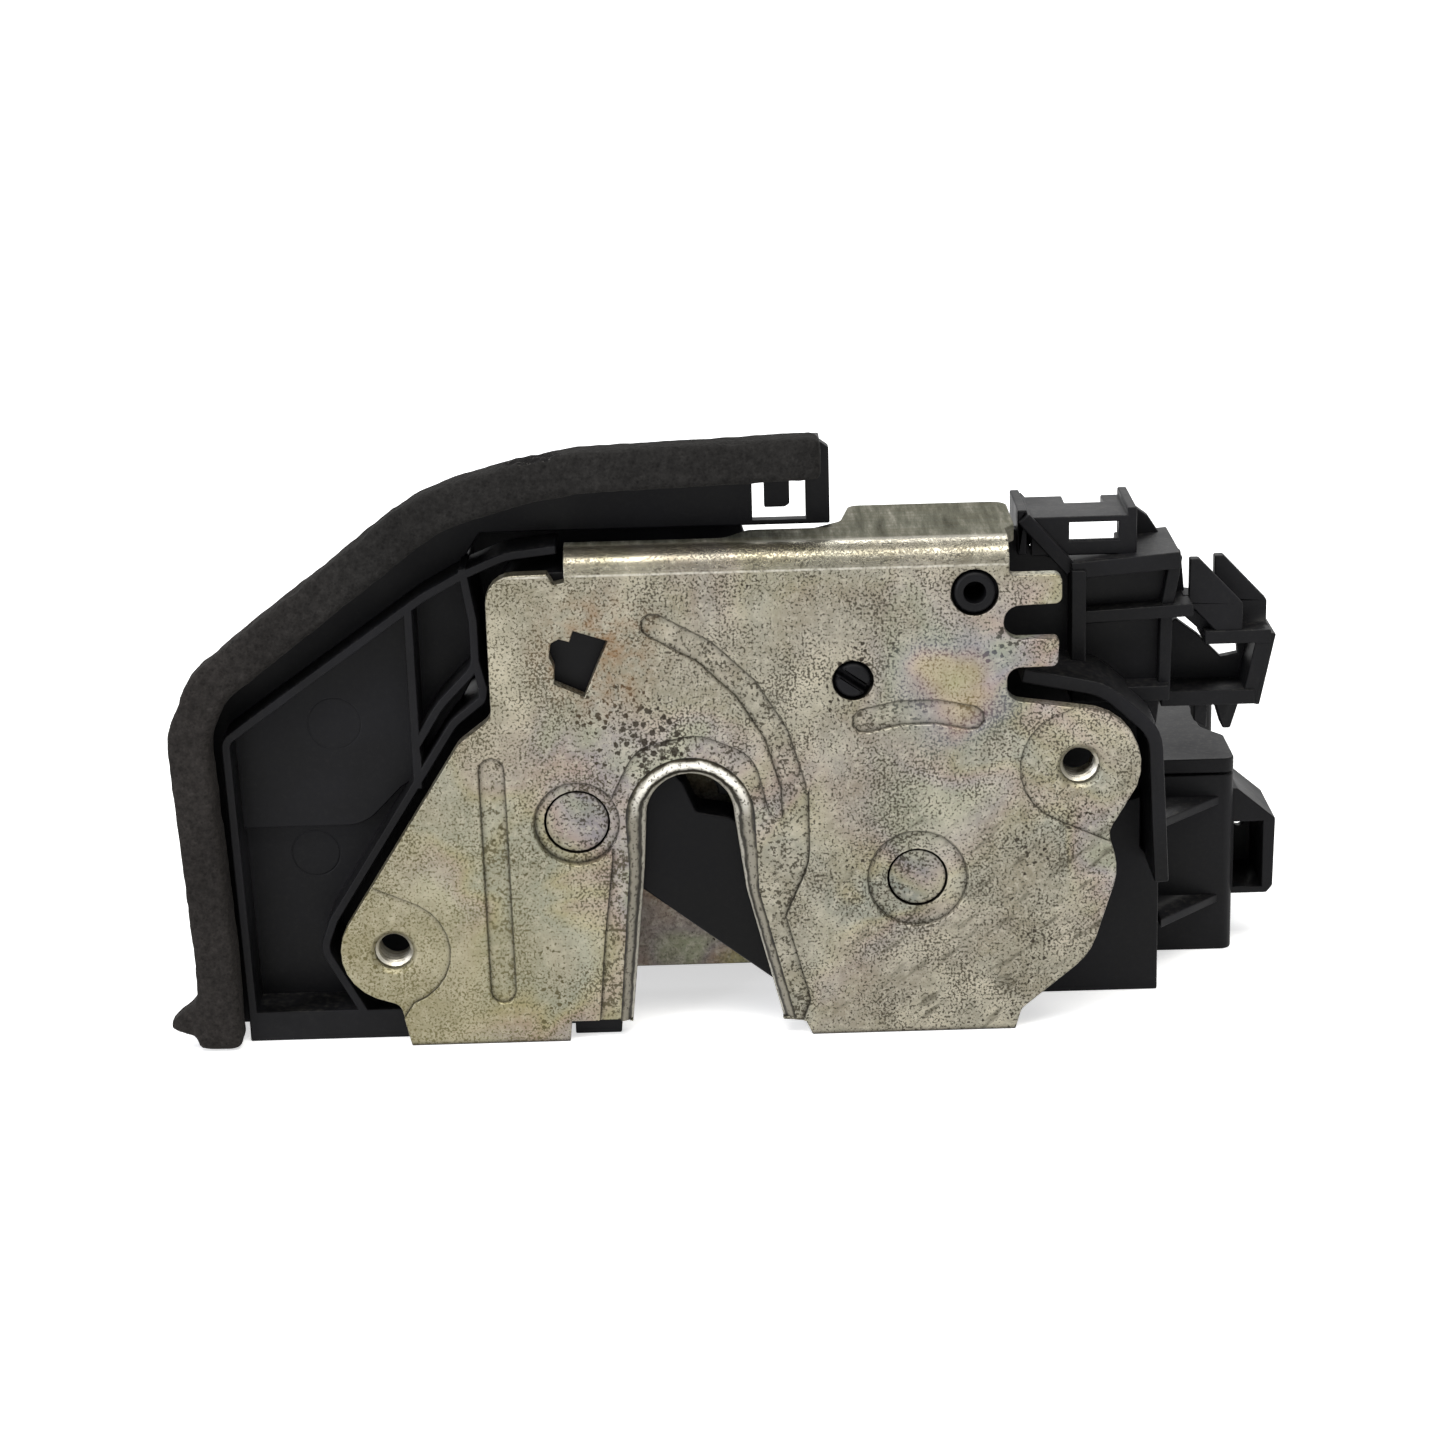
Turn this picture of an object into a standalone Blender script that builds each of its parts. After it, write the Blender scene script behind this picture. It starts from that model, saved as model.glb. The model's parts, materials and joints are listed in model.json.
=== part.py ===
"""Side door latch of a car, standing on its lower edges with the fishmouth slot down.

Frame: metres, +Z up. The origin is on the front face of the lock plate, on the middle of the
fishmouth. X runs along the plate, Y runs back into the depth of the latch, so the lock plate
looks along -Y. Sizes below are millimetres; MM turns them into metres when a mesh is made.
"""

import math

import bmesh
import bpy
from mathutils import Matrix, Vector

MM = 0.001
ARC_STEP = math.radians(15)

# General sizes
GAP = 0.3
FLOOR_Z = -45.0

# Lock plate
PLATE_THICKNESS = 2.2
PLATE_TOP_Z = 19.8
BEND_RADIUS = 3.2
FLANGE_LEFT_X = -15.3
FLANGE_RIGHT_X = 39.7
PLATE_LEFT_X = -25.1
EMBOSS_DEPTH = 0.5
LIP_THICKNESS = 1.3
SLOT_FLARE = 1.1
SLOT_TOP_RADIUS = 5.6
SLOT_TOP_Z = -9.8
LEFT_EAR = (-39.0, -32.2)
RIGHT_EAR = (48.6, -9.8)
LEFT_EAR_RADIUS = 6.8
RIGHT_EAR_RADIUS = 7.7
THREAD_RADIUS = 2.45
COLLAR_RADIUS = 4.2
COLLAR_LENGTH = 5.0
SPIGOT_HOLE = (35.4, 13.3)
SPIGOT_HOLE_RADIUS = 2.95
SLOTTED_HOLE = (20.2, 2.4)
SLOTTED_HOLE_RADIUS = 2.55

# Claw and pawl, whose angles are measured from +X towards +Z
CLAW_PIVOT = (-14.9, -15.5)
PAWL_PIVOT = (28.0, -24.1)
CLAW_FRONT_Y = 3.2
CLAW_THICKNESS = 6.2
CLAW_RADIUS = 34.5
CLAW_HUB_RADIUS = 12.0
CLAW_TURN = math.radians(62)
THROAT_REACH = 15.0
THROAT_RADIUS = 5.3
THROAT_ANGLE = math.radians(-72)
MOUTH_ANGLE = math.radians(-38)
HOOK_RADIUS = 26.4
ARM_BACK = [(11.2, -29.0, 6.0), (8.2, -18.5, 2.0), (4.5, -16.2, 1.0), (0.2, -15.4, 1.0), (-1.4, -11.5, 2.0),
            (-5.6, -6.4, 5.0)]
PAWL_TURN = math.radians(16)
PAWL_HUB_RADIUS = 6.4
PAWL_ARM_WIDTH = 5.0
PAWL_PIN_REACH = 9.0
PAWL_PIN_RADIUS = 1.6
PAWL_PIN_ANGLE = math.radians(-46)
CLAW_STUD_RADIUS = 3.9
PAWL_STUD_RADIUS = 3.55
CLAW_SEAT_RADIUS = 5.6
PAWL_SEAT_RADIUS = 6.5
SEAT_DEPTH = 0.4

BUMPER_WALL = 3.3
STOP_RADIUS = 2.2
SPRING_WIRE = 1.3
SWITCH_WIDTH = 8.0
SWITCH_HEIGHT = 5.4
SWITCH_DEPTH = 5.6
SWITCH_BUTTON = 0.8
SWITCHES = {"claw_switch": (-14.9, 0.8, -0.8), "pawl_switch": (34.0, -3.0, -4.6)}

# Plates and case behind the lock plate
CASE_DEPTH = 11.2
CASE_TOP_Z = 16.8
CASE_FOOT_Z = -43.6
CASE_FLOOR = 2.2
BACK_PLATE_THICKNESS = 1.6
HOUSING_WALL = 2.0

# Main housing
TRAY_FRONT_Y = 3.0
SHIELD_FRONT_Y = 9.5
SHIELD_WALL = 2.0
RIM_WALL = 1.1
BAND_HEIGHT = 4.0
BODY_FRONT_Y = 12.0
BODY_RIGHT_X = 60.2
FOAM_FRONT_Y = -0.4
FOAM_WIDTH = 5.5
FOAM_DEPTH = 5.4
CARRIER_WALL = 2.4
TRAY_STEP = 1.5
SHIELD_WINDOW = (8.3, 15.0, 20.9, 26.1)

# Actuator housing, the low box behind
BOX_FRONT_Y = 25.6
BOX_BACK_ROOM = 34.0
BOX_LEFT_X = -28.0
BOX_RIGHT_X = 72.2
BOX_TOP_Z = -20.0
BOX_WALL = 2.0
COVER_THICKNESS = 2.0

# Drive in the actuator housing
WHEEL_AXLE = (16.0, 44.0)
WHEEL_TEETH = 26
GEAR_MODULE = 0.9
WHEEL_THICKNESS = 2.6
WORM_RADIUS = 3.4
WORM_LENGTH = 13.0
MOTOR_RADIUS = 9.0
MOTOR_LENGTH = 26.0
MOTOR_SHAFT_RADIUS = 1.0
KEY_AXIS = (54.0, 58.0)
KEY_RADIUS = 7.0

AXLE_RADIUS = 1.5
PEG_REACH = 6.0
PEG_RADIUS = 1.4
WHEEL_TURN = math.radians(60)
LOCK_TURN = math.radians(19)
LOCK_PIVOT = (40.0, 44.0)
LOCK_PIN_RADIUS = 1.8
WORM_STEPS = 9
MOTOR_RIGHT_X = 6.0
KEY_SHAFT_RADIUS = 4.6
SCREW_RADIUS = 1.3
SCREW_LENGTH = 10.0
SOCKET_LEFT_X = -14.0
SOCKET_WIDTH = 22.0
SOCKET_DEPTH = 13.0
SOCKET_HEIGHT = 12.0
CONTACTS = 6
RAIL_HEIGHT = 3.0
GUSSET_HEIGHTS = (-24.2, -38.2)
GUSSET_WALL = 1.2

# Levers behind the main housing
LEVER_PIVOT = (36.0, -4.0)
LEVER_THICKNESS = 1.8
LEVER_PIN_RADIUS = 2.4
LEVER_HUB = 5.4
LEVER_ARM = 4.0


# Positions worked out from the sizes
PLATE_BACK_Y = PLATE_THICKNESS
CASE_FRONT_Y = PLATE_BACK_Y + GAP
CASE_BACK_Y = CASE_FRONT_Y + CASE_DEPTH
POCKET_FLOOR_Y = CASE_BACK_Y - CASE_FLOOR
BACK_PLATE_FRONT_Y = CASE_BACK_Y + GAP
BACK_PLATE_BACK_Y = BACK_PLATE_FRONT_Y + BACK_PLATE_THICKNESS
WALL_FRONT_Y = BACK_PLATE_BACK_Y + GAP
WALL_BACK_Y = WALL_FRONT_Y + HOUSING_WALL
CLAW_BACK_Y = CLAW_FRONT_Y + CLAW_THICKNESS
LIP_BACK_Y = CLAW_FRONT_Y - GAP
SHIELD_BACK_Y = SHIELD_FRONT_Y + SHIELD_WALL
FOAM_BACK_Y = FOAM_FRONT_Y + FOAM_DEPTH
BEND_Z = PLATE_TOP_Z - BEND_RADIUS
COVER_BOTTOM_Z = BOX_TOP_Z + GAP
COVER_TOP_Z = COVER_BOTTOM_Z + COVER_THICKNESS
BOX_FLOOR_Z = FLOOR_Z + BOX_WALL
HOUSING_BACK_Y = BOX_FRONT_Y - GAP
BOX_BACK_Y = WHEEL_AXLE[1] + BOX_BACK_ROOM
MOTOR_LEFT_X = MOTOR_RIGHT_X - MOTOR_LENGTH
SOCKET_BOX = (SOCKET_LEFT_X, SOCKET_LEFT_X + SOCKET_WIDTH, BOX_BACK_Y - 5.0 - SOCKET_DEPTH, BOX_BACK_Y - 5.0)
LEVER_FRONT_Y = WALL_BACK_Y + GAP
LEVER_BACK_Y = LEVER_FRONT_Y + LEVER_THICKNESS
INSIDE_LEVER_FRONT_Y = LEVER_BACK_Y + GAP
INSIDE_LEVER_BACK_Y = INSIDE_LEVER_FRONT_Y + LEVER_THICKNESS
WHEEL_Z = (FLOOR_Z + BOX_TOP_Z) / 2
LOCK_LEVER_Z = WHEEL_Z + WHEEL_THICKNESS / 2 + 1.0
SHIELD_FOOT_Z = PLATE_TOP_Z + 0.5


# Outlines

def polar(centre, radius, angle):
    """Point at a radius and angle from a centre."""
    return (centre[0] + radius * math.cos(angle), centre[1] + radius * math.sin(angle))


def arc(centre, radius, start, end, step=ARC_STEP):
    """Points along an arc, both ends included; start and end are in degrees."""
    turn = math.radians(end - start)
    count = max(1, math.ceil(abs(turn) / step))
    return [polar(centre, radius, math.radians(start) + turn * i / count) for i in range(count + 1)]


def circle(centre, radius, count=20):
    """Points round a full circle."""
    return [polar(centre, radius, math.tau * i / count) for i in range(count)]


def rounded(corners, step=ARC_STEP):
    """Closed outline through corners (a, b) or (a, b, radius), with an arc at each radius."""
    outline = []
    for i, corner in enumerate(corners):
        here = Vector(corner[:2])
        if len(corner) < 3:
            outline.append(tuple(here))
            continue
        before = Vector(corners[i - 1][:2]) - here
        after = Vector(corners[(i + 1) % len(corners)][:2]) - here
        angle = before.angle(after)
        reach = min(corner[2] / math.tan(angle / 2), 0.48 * before.length, 0.48 * after.length)
        radius = reach * math.tan(angle / 2)
        start = here + before.normalized() * reach
        end = here + after.normalized() * reach
        middle = here + (before.normalized() + after.normalized()).normalized() * radius / math.sin(angle / 2)
        first = start - middle
        turn = first.angle_signed(end - middle)
        count = max(1, math.ceil(abs(turn) / step))
        for k in range(count + 1):
            spoke = Matrix.Rotation(-turn * k / count, 2) @ first
            outline.append(tuple(middle + spoke))
    return outline


def side_step(path, distance):
    """Open path moved sideways to its left by a distance, with mitred corners."""
    points = [Vector(p) for p in path]
    moved = []
    for i, point in enumerate(points):
        back = (point - points[i - 1]).normalized() if i > 0 else None
        ahead = (points[i + 1] - point).normalized() if i < len(points) - 1 else None
        run = (back or ahead) + (ahead or back)
        run.normalize()
        normal = Vector((-run.y, run.x))
        edge = back or ahead
        slant = max(0.4, normal.dot(Vector((-edge.y, edge.x))))
        moved.append(tuple(point + normal * distance / slant))
    return moved


def strip(path, width):
    """Closed outline of a wall of a given width along an open path."""
    return side_step(path, width / 2) + side_step(path, -width / 2)[::-1]


def stadium(start, end, width, count=6):
    """Closed outline of a slot with round ends."""
    run = Vector(end) - Vector(start)
    heading = math.degrees(math.atan2(run.y, run.x))
    step = math.pi / count
    far = arc(end, width / 2, heading - 90, heading + 90, step)
    near = arc(start, width / 2, heading + 90, heading + 270, step)
    return far + near


def arc_band(centre, inner, outer, start, end):
    """Closed outline of a curved slot with round ends; angles in degrees."""
    middle = (inner + outer) / 2
    half = (outer - inner) / 2
    cap_end = polar(centre, middle, math.radians(end))
    cap_start = polar(centre, middle, math.radians(start))
    ring = arc(centre, outer, start, end)
    ring += arc(cap_end, half, end, end + 180, math.radians(45))[1:-1]
    ring += arc(centre, inner, end, start)
    ring += arc(cap_start, half, start + 180, start + 360, math.radians(45))[1:-1]
    return ring


def turned_about(centre, points, angle):
    """Points turned about a centre by an angle."""
    turn = Matrix.Rotation(angle, 2)
    middle = Vector(centre)
    return [tuple(middle + turn @ (Vector(p) - middle)) for p in points]


# Solids

def to_space(a, b, depth, axis):
    """Outline coordinates and a depth as a point: axis names the direction of the depth."""
    if axis == "Y":
        return Vector((a, depth, b)) * MM
    if axis == "Z":
        return Vector((a, b, depth)) * MM
    return Vector((depth, a, b)) * MM


def new_object(name, bm):
    """Object from a bmesh, with its faces pointing out."""
    bmesh.ops.recalc_face_normals(bm, faces=bm.faces)
    if bm.calc_volume(signed=True) < 0:
        bmesh.ops.reverse_faces(bm, faces=bm.faces)
    mesh = bpy.data.meshes.new(name)
    bm.to_mesh(mesh)
    bm.free()
    obj = bpy.data.objects.new(name, mesh)
    bpy.context.scene.collection.objects.link(obj)
    return obj


def prism(outline, low, high, axis="Y", name="solid"):
    """Straight solid of an outline between two depths along an axis."""
    bm = bmesh.new()
    face = bm.faces.new([bm.verts.new(to_space(a, b, low, axis)) for a, b in outline])
    swept = bmesh.ops.extrude_face_region(bm, geom=[face])
    moved = [v for v in swept["geom"] if isinstance(v, bmesh.types.BMVert)]
    bmesh.ops.translate(bm, verts=moved, vec=to_space(0, 0, high - low, axis))
    return new_object(name, bm)


def loft(rings, axis="Y", name="solid"):
    """Solid through rings of equal point count, each (outline, depth)."""
    bm = bmesh.new()
    loops = []
    for outline, depth in rings:
        loops.append([bm.verts.new(to_space(a, b, depth, axis)) for a, b in outline])
    count = len(loops[0])
    for lower, upper in zip(loops, loops[1:]):
        for i in range(count):
            j = (i + 1) % count
            bm.faces.new((lower[i], lower[j], upper[j], upper[i]))
    bm.faces.new(loops[0][::-1])
    bm.faces.new(loops[-1])
    return new_object(name, bm)


def box(x, y, z, name="solid"):
    """Block between two X, two Y and two Z values."""
    outline = [(x[0], z[0]), (x[1], z[0]), (x[1], z[1]), (x[0], z[1])]
    return prism(outline, y[0], y[1], "Y", name)


def turned(profile, centre, axis="Y", count=20, name="solid"):
    """Turned solid about an axis: the profile is (radius, depth) from one end to the other."""
    rings = [(circle(centre, radius, count), depth) for radius, depth in profile]
    return loft(rings, axis, name)


def tube(outer, inner, low, high, centre, axis="Y", count=20, name="solid"):
    """Round tube between two depths."""
    body = turned([(outer, low), (outer, high)], centre, axis, count, name)
    return cut(body, turned([(inner, low - 1), (inner, high + 1)], centre, axis, count))


def combine(target, tools, operation):
    """Apply Booleans with the EXACT solver, one tool after another."""
    for tool in tools:
        modifier = target.modifiers.new(operation.title(), "BOOLEAN")
        modifier.operation = operation
        modifier.solver = "EXACT"
        modifier.object = tool
        graph = bpy.context.evaluated_depsgraph_get()
        mesh = bpy.data.meshes.new_from_object(target.evaluated_get(graph))
        target.modifiers.clear()
        target.data = mesh
        bpy.data.objects.remove(tool)
    bm = bmesh.new()
    bm.from_mesh(target.data)
    bmesh.ops.remove_doubles(bm, verts=bm.verts, dist=0.002 * MM)
    bmesh.ops.dissolve_limit(bm, angle_limit=math.radians(0.2), verts=bm.verts, edges=bm.edges)
    bm.to_mesh(target.data)
    bm.free()
    return target


def join(target, *tools):
    """Union of solids."""
    return combine(target, tools, "UNION")


def cut(target, *tools):
    """A solid less other solids."""
    return combine(target, tools, "DIFFERENCE")


def material(name, colour, roughness, metallic):
    """Principled material; the colour is linear."""
    made = bpy.data.materials.new(name)
    made.use_nodes = True
    shader = made.node_tree.nodes["Principled BSDF"]
    shader.inputs["Base Color"].default_value = (*colour, 1.0)
    shader.inputs["Roughness"].default_value = roughness
    shader.inputs["Metallic"].default_value = metallic
    return made


def split_faces(obj):
    """Turn faces into well shaped triangles, so that none is a sliver along a row of points."""
    bm = bmesh.new()
    bm.from_mesh(obj.data)
    made = bmesh.ops.triangulate(bm, faces=bm.faces, quad_method="BEAUTY", ngon_method="BEAUTY")
    bmesh.ops.beautify_fill(bm, faces=made["faces"], edges=made["edges"])
    bm.to_mesh(obj.data)
    bm.free()


def finish(obj, name, colour, roughness, metallic, origin=(0.0, 0.0, 0.0)):
    """Name a piece, give it its material and put its origin where it turns or sits."""
    split_faces(obj)
    obj.name = name
    obj.data.name = name
    obj.data.materials.clear()
    obj.data.materials.append(material(name, colour, roughness, metallic))
    place = Vector(origin) * MM
    obj.data.transform(Matrix.Translation(-place))
    obj.location = place
    obj.data.shade_smooth()
    obj.data.set_sharp_from_angle(angle=math.radians(30))
    return obj


ZINC = ((0.42, 0.40, 0.34), 0.42, 0.85)
STEEL = ((0.40, 0.40, 0.38), 0.38, 0.95)
SPRING_STEEL = ((0.30, 0.30, 0.31), 0.32, 1.0)
BLACK_MOULDING = ((0.016, 0.016, 0.018), 0.45, 0.0)
COATING = ((0.013, 0.013, 0.015), 0.4, 0.0)
RUBBER = ((0.008, 0.008, 0.009), 0.7, 0.0)
FOAM = ((0.036, 0.031, 0.027), 0.95, 0.0)
NATURAL_MOULDING = ((0.62, 0.60, 0.54), 0.45, 0.0)
BRASS = ((0.60, 0.43, 0.17), 0.35, 1.0)


# Lock plate

def slot_path():
    """Inner edge of the fishmouth, from its lower left round the top to its lower right."""
    centre = (-0.6, SLOT_TOP_Z - SLOT_TOP_RADIUS)
    return [(-8.75, -42.6), (-6.6, -22.0)] + arc(centre, SLOT_TOP_RADIUS, 180, 0) + [(6.3, -25.5), (10.6, -42.9)]


def plate_outline():
    """Outline of the flat of the lock plate, with the fishmouth open at its foot."""
    left_ear = arc(LEFT_EAR, LEFT_EAR_RADIUS, 148, 248)
    right_ear = arc(RIGHT_EAR, RIGHT_EAR_RADIUS, -22, 88)
    upper_left = rounded([
        (FLANGE_LEFT_X, BEND_Z), (FLANGE_LEFT_X, BEND_Z - 0.8), (FLANGE_LEFT_X - 1.3, BEND_Z - 0.8),
        (FLANGE_LEFT_X - 2.1, BEND_Z + 0.6), (PLATE_LEFT_X, BEND_Z + 0.5, 3.5), (PLATE_LEFT_X, -1.2, 2.0),
        (-29.3, -4.4, 3.0), left_ear[0]])[1:]
    foot = rounded([
        left_ear[-1], (-38.5, -39.5, 1.5), (-37.3, FLOOR_Z), (-16.9, FLOOR_Z), (-16.6, -42.3), (-10.4, -42.3),
        (-8.75, -42.6)])[1:-1]
    foot_right = rounded([
        (10.6, -42.9), (13.5, -43.2), (14.3, FLOOR_Z), (40.4, FLOOR_Z), (41.2, -42.3, 1.5), (50.0, -35.0, 8.0),
        (53.6, -23.5, 8.0), (52.2, -18.7, 2.5), right_ear[0]])[1:-1]
    tabs = rounded([
        right_ear[-1], (39.4, -0.7, 1.9), (39.4, 3.4, 1.6), (45.7, 3.5, 0.8), (45.9, 7.1, 0.5), (39.0, 7.1, 2.0),
        (39.0, 11.4, 2.0), (46.2, 11.6, 0.9), (46.2, 15.3, 0.9), (FLANGE_RIGHT_X, 15.3, 0.6),
        (FLANGE_RIGHT_X, BEND_Z)])[1:]
    return upper_left[:-1] + left_ear + foot + slot_path() + foot_right + right_ear + tabs


def bend_and_flange():
    """Top edge of the plate, turned back in an arc and running out as a stepped flange."""
    foot = BEND_Z - 0.5
    outer = [(0.0, foot)] + [(BEND_RADIUS - BEND_RADIUS * math.cos(a), BEND_Z + BEND_RADIUS * math.sin(a))
                             for a in [math.radians(18 * i) for i in range(6)]]
    inner_radius = BEND_RADIUS - PLATE_THICKNESS
    inner = [(BEND_RADIUS - inner_radius * math.cos(a), BEND_Z + inner_radius * math.sin(a))
             for a in [math.radians(90 - 30 * i) for i in range(4)]]
    bend = prism(outer + inner + [(PLATE_THICKNESS, foot)], FLANGE_LEFT_X, FLANGE_RIGHT_X, "X")
    flange = prism(rounded([
        (FLANGE_LEFT_X, BEND_RADIUS), (FLANGE_RIGHT_X, BEND_RADIUS), (FLANGE_RIGHT_X, 6.5), (41.0, 8.5, 1.0),
        (41.0, 20.5, 2.0), (20.8, 20.5, 1.5), (19.4, 12.5, 2.0), (15.9, 9.4, 1.0), (7.6, 9.4, 1.5),
        (4.6, 5.6, 1.5), (FLANGE_LEFT_X, 5.6)]), PLATE_TOP_Z - PLATE_THICKNESS, PLATE_TOP_Z, "Z")
    return bend, flange


def recess(outline_at_floor, outline_at_front, depth=EMBOSS_DEPTH):
    """Cutter for a pressed groove with sloped walls."""
    return loft([(outline_at_front, -1.0), (outline_at_front, 0.0), (outline_at_floor, depth)])


def slot_band():
    """Recessed band round the fishmouth and its foot."""
    return rounded([
        (-13.1, -43.5), (-12.0, -31.4), (-10.6, -20.5, 4.0), (-10.4, -12.0, 3.0), (-7.2, -5.6, 5.0), (0.6, -4.0, 6.0),
        (7.6, -7.0, 5.0), (9.6, -15.5, 2.0), (12.4, -15.5, 1.5), (14.4, -12.0), (14.4, -21.5, 8.0), (11.2, -28.6),
        (14.2, -40.2, 1.2), (13.0, -43.5)])


def lock_plate():
    """Stamped plate: outline, bend, grooves, seats, slot lip and threaded collars."""
    plate = prism(plate_outline(), 0.0, PLATE_THICKNESS, "Y", "lock_plate")
    join(plate, *bend_and_flange())
    lip = strip(side_step(slot_path(), LIP_THICKNESS / 2), LIP_THICKNESS)
    join(plate, prism(lip, 1.0, LIP_BACK_Y))
    for ear in (LEFT_EAR, RIGHT_EAR):
        join(plate, turned([(COLLAR_RADIUS, 1.0), (COLLAR_RADIUS, PLATE_BACK_Y + COLLAR_LENGTH)], ear))
    grooves = [
        recess(slot_band(), slot_band()),
        recess(arc_band(CLAW_PIVOT, 26.2, 29.2, -6, 68), arc_band(CLAW_PIVOT, 26.0, 29.4, -6, 68)),
        recess(stadium((-25.4, -8.1), (-25.2, -37.9), 3.1), stadium((-25.4, -8.1), (-25.2, -37.9), 3.5)),
        recess(arc_band((28.3, -23.8), 20.4, 23.4, 72, 108), arc_band((28.3, -23.8), 20.2, 23.6, 72, 108)),
        recess(ear_seat_left(), ear_seat_left(), 0.35),
        recess(ear_seat_right(), ear_seat_right(), 0.35),
    ]
    cut(plate, *grooves)
    for pivot, seat in ((CLAW_PIVOT, CLAW_SEAT_RADIUS), (PAWL_PIVOT, PAWL_SEAT_RADIUS)):
        depth = SEAT_DEPTH + (EMBOSS_DEPTH if pivot is CLAW_PIVOT else 0.2)
        cut(plate, turned([(seat, -1.0), (seat, 0.0), (seat - 0.25, depth)], pivot, count=28))
    cut(plate, turned([(CLAW_STUD_RADIUS + GAP, -1), (CLAW_STUD_RADIUS + GAP, 4)], CLAW_PIVOT, count=24),
        turned([(PAWL_STUD_RADIUS + GAP, -1), (PAWL_STUD_RADIUS + GAP, 4)], PAWL_PIVOT, count=24))
    for ear in (LEFT_EAR, RIGHT_EAR):
        mouth = THREAD_RADIUS + 0.6
        cut(plate, turned([(mouth, -1.0), (mouth, 0.36), (THREAD_RADIUS, 0.96), (THREAD_RADIUS, 20.0)], ear, count=24))
    cut(plate, prism(circle(SPIGOT_HOLE, SPIGOT_HOLE_RADIUS, 24), -1.0, 4.0),
        prism(circle(SLOTTED_HOLE, SLOTTED_HOLE_RADIUS, 24), -1.0, 4.0), prism(window_outline(), -1.0, 4.0))
    flare = slot_path()
    wide = side_step(flare, SLOT_FLARE)
    cut(plate, loft([(wide, -1.0), (wide, EMBOSS_DEPTH - 0.05), (flare, EMBOSS_DEPTH + SLOT_FLARE)]))
    return finish(plate, "lock_plate", *ZINC)


def ear_seat_left():
    """Screw seat pressed round the left threaded ear."""
    ring = arc(LEFT_EAR, 7.3, 62, -72)
    return [(-47.5, -20.5)] + ring + [(-40.0, -44.0), (-52.0, -40.0)]


def ear_seat_right():
    """Screw seat pressed round the right threaded ear."""
    ring = arc(RIGHT_EAR, 7.6, 104, 248)
    return ring + [(56.0, -21.5), (62.0, -10.0), (58.0, 2.0)]


def window_outline():
    """Five-sided window with a notched corner, above the claw rivet."""
    return [(-17.2, 8.3), (-16.2, 8.8), (-14.9, 8.4), (-14.4, 9.8), (-10.2, 8.4), (-11.8, 4.8), (-13.3, 1.3),
            (-17.0, 3.0), (-16.9, 5.2), (-17.5, 6.6)]


# Claw and pawl

def claw_outline():
    """Rotary fork in its open position: hub, catch arm across the slot, throat and hook."""
    throat = polar(CLAW_PIVOT, THROAT_REACH, THROAT_ANGLE)
    along = Vector((math.cos(MOUTH_ANGLE), math.sin(MOUTH_ANGLE)))
    across = Vector((-along.y, along.x)) * THROAT_RADIUS
    mouth = math.degrees(MOUTH_ANGLE)
    tip = Vector(throat) + across + along * 21.9
    hook_tip = Vector(throat) - across + along * 5.4
    catch = arc(CLAW_PIVOT, CLAW_RADIUS, -42.6, -34.0, math.radians(4))
    back_of_arm = rounded([catch[-1]] + ARM_BACK + [polar(CLAW_PIVOT, CLAW_HUB_RADIUS, math.radians(80))])[1:-1]
    hub = arc(CLAW_PIVOT, CLAW_HUB_RADIUS, 80, 200)
    hook = rounded([
        hub[-1], (-25.5, -27.0, 5.0), polar(CLAW_PIVOT, HOOK_RADIUS, math.radians(-108))])[1:-1]
    hook_end = arc(CLAW_PIVOT, HOOK_RADIUS, -108, -78.5)
    throat_arc = arc(throat, THROAT_RADIUS, mouth + 270, mouth + 90)
    return [tuple(tip)] + catch + back_of_arm + hub + hook + hook_end + [tuple(hook_tip)] + throat_arc


def claw():
    """Coated steel fork with its pivot bore and a pressed rib."""
    body = prism(claw_outline(), CLAW_FRONT_Y, CLAW_BACK_Y, "Y", "claw")
    cut(body, prism(circle(CLAW_PIVOT, CLAW_STUD_RADIUS + GAP + 0.2), CLAW_FRONT_Y - 1, CLAW_BACK_Y + 1))
    return finish(body, "claw", *COATING, origin=(CLAW_PIVOT[0], CLAW_FRONT_Y, CLAW_PIVOT[1]))


def pawl_nose():
    """Middle of the pawl's nose face and the way it looks, in the engaged position."""
    throat = turned_about(CLAW_PIVOT, [polar(CLAW_PIVOT, THROAT_REACH, THROAT_ANGLE)], CLAW_TURN)[0]
    heading = MOUTH_ANGLE + CLAW_TURN
    along = Vector((math.cos(heading), math.sin(heading)))
    across = Vector((-along.y, along.x))
    flank = Vector(throat) + across * THROAT_RADIUS
    contact = flank + along * 19.0 - across * GAP
    return contact, along, across


def pawl_outline():
    """Pawl in its lifted position: hub, strut up to the nose, and a tail for its pin."""
    contact, along, across = pawl_nose()
    half = PAWL_ARM_WIDTH / 2
    left = contact - along * half
    right = contact + along * half
    engaged = [tuple(right), tuple(left), tuple(left - across * 4.0)]
    engaged += arc(PAWL_PIVOT, PAWL_HUB_RADIUS, 160, 240)
    tail = polar(PAWL_PIVOT, PAWL_PIN_REACH, PAWL_PIN_ANGLE + PAWL_TURN)
    tail_angle = math.degrees(PAWL_PIN_ANGLE + PAWL_TURN)
    engaged += arc(tail, PAWL_PIN_RADIUS + 1.4, tail_angle - 90, tail_angle + 90)
    engaged += arc(PAWL_PIVOT, PAWL_HUB_RADIUS, 0, 70)
    engaged += [tuple(right - across * 6.0)]
    return turned_about(PAWL_PIVOT, engaged, -PAWL_TURN)


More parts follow.
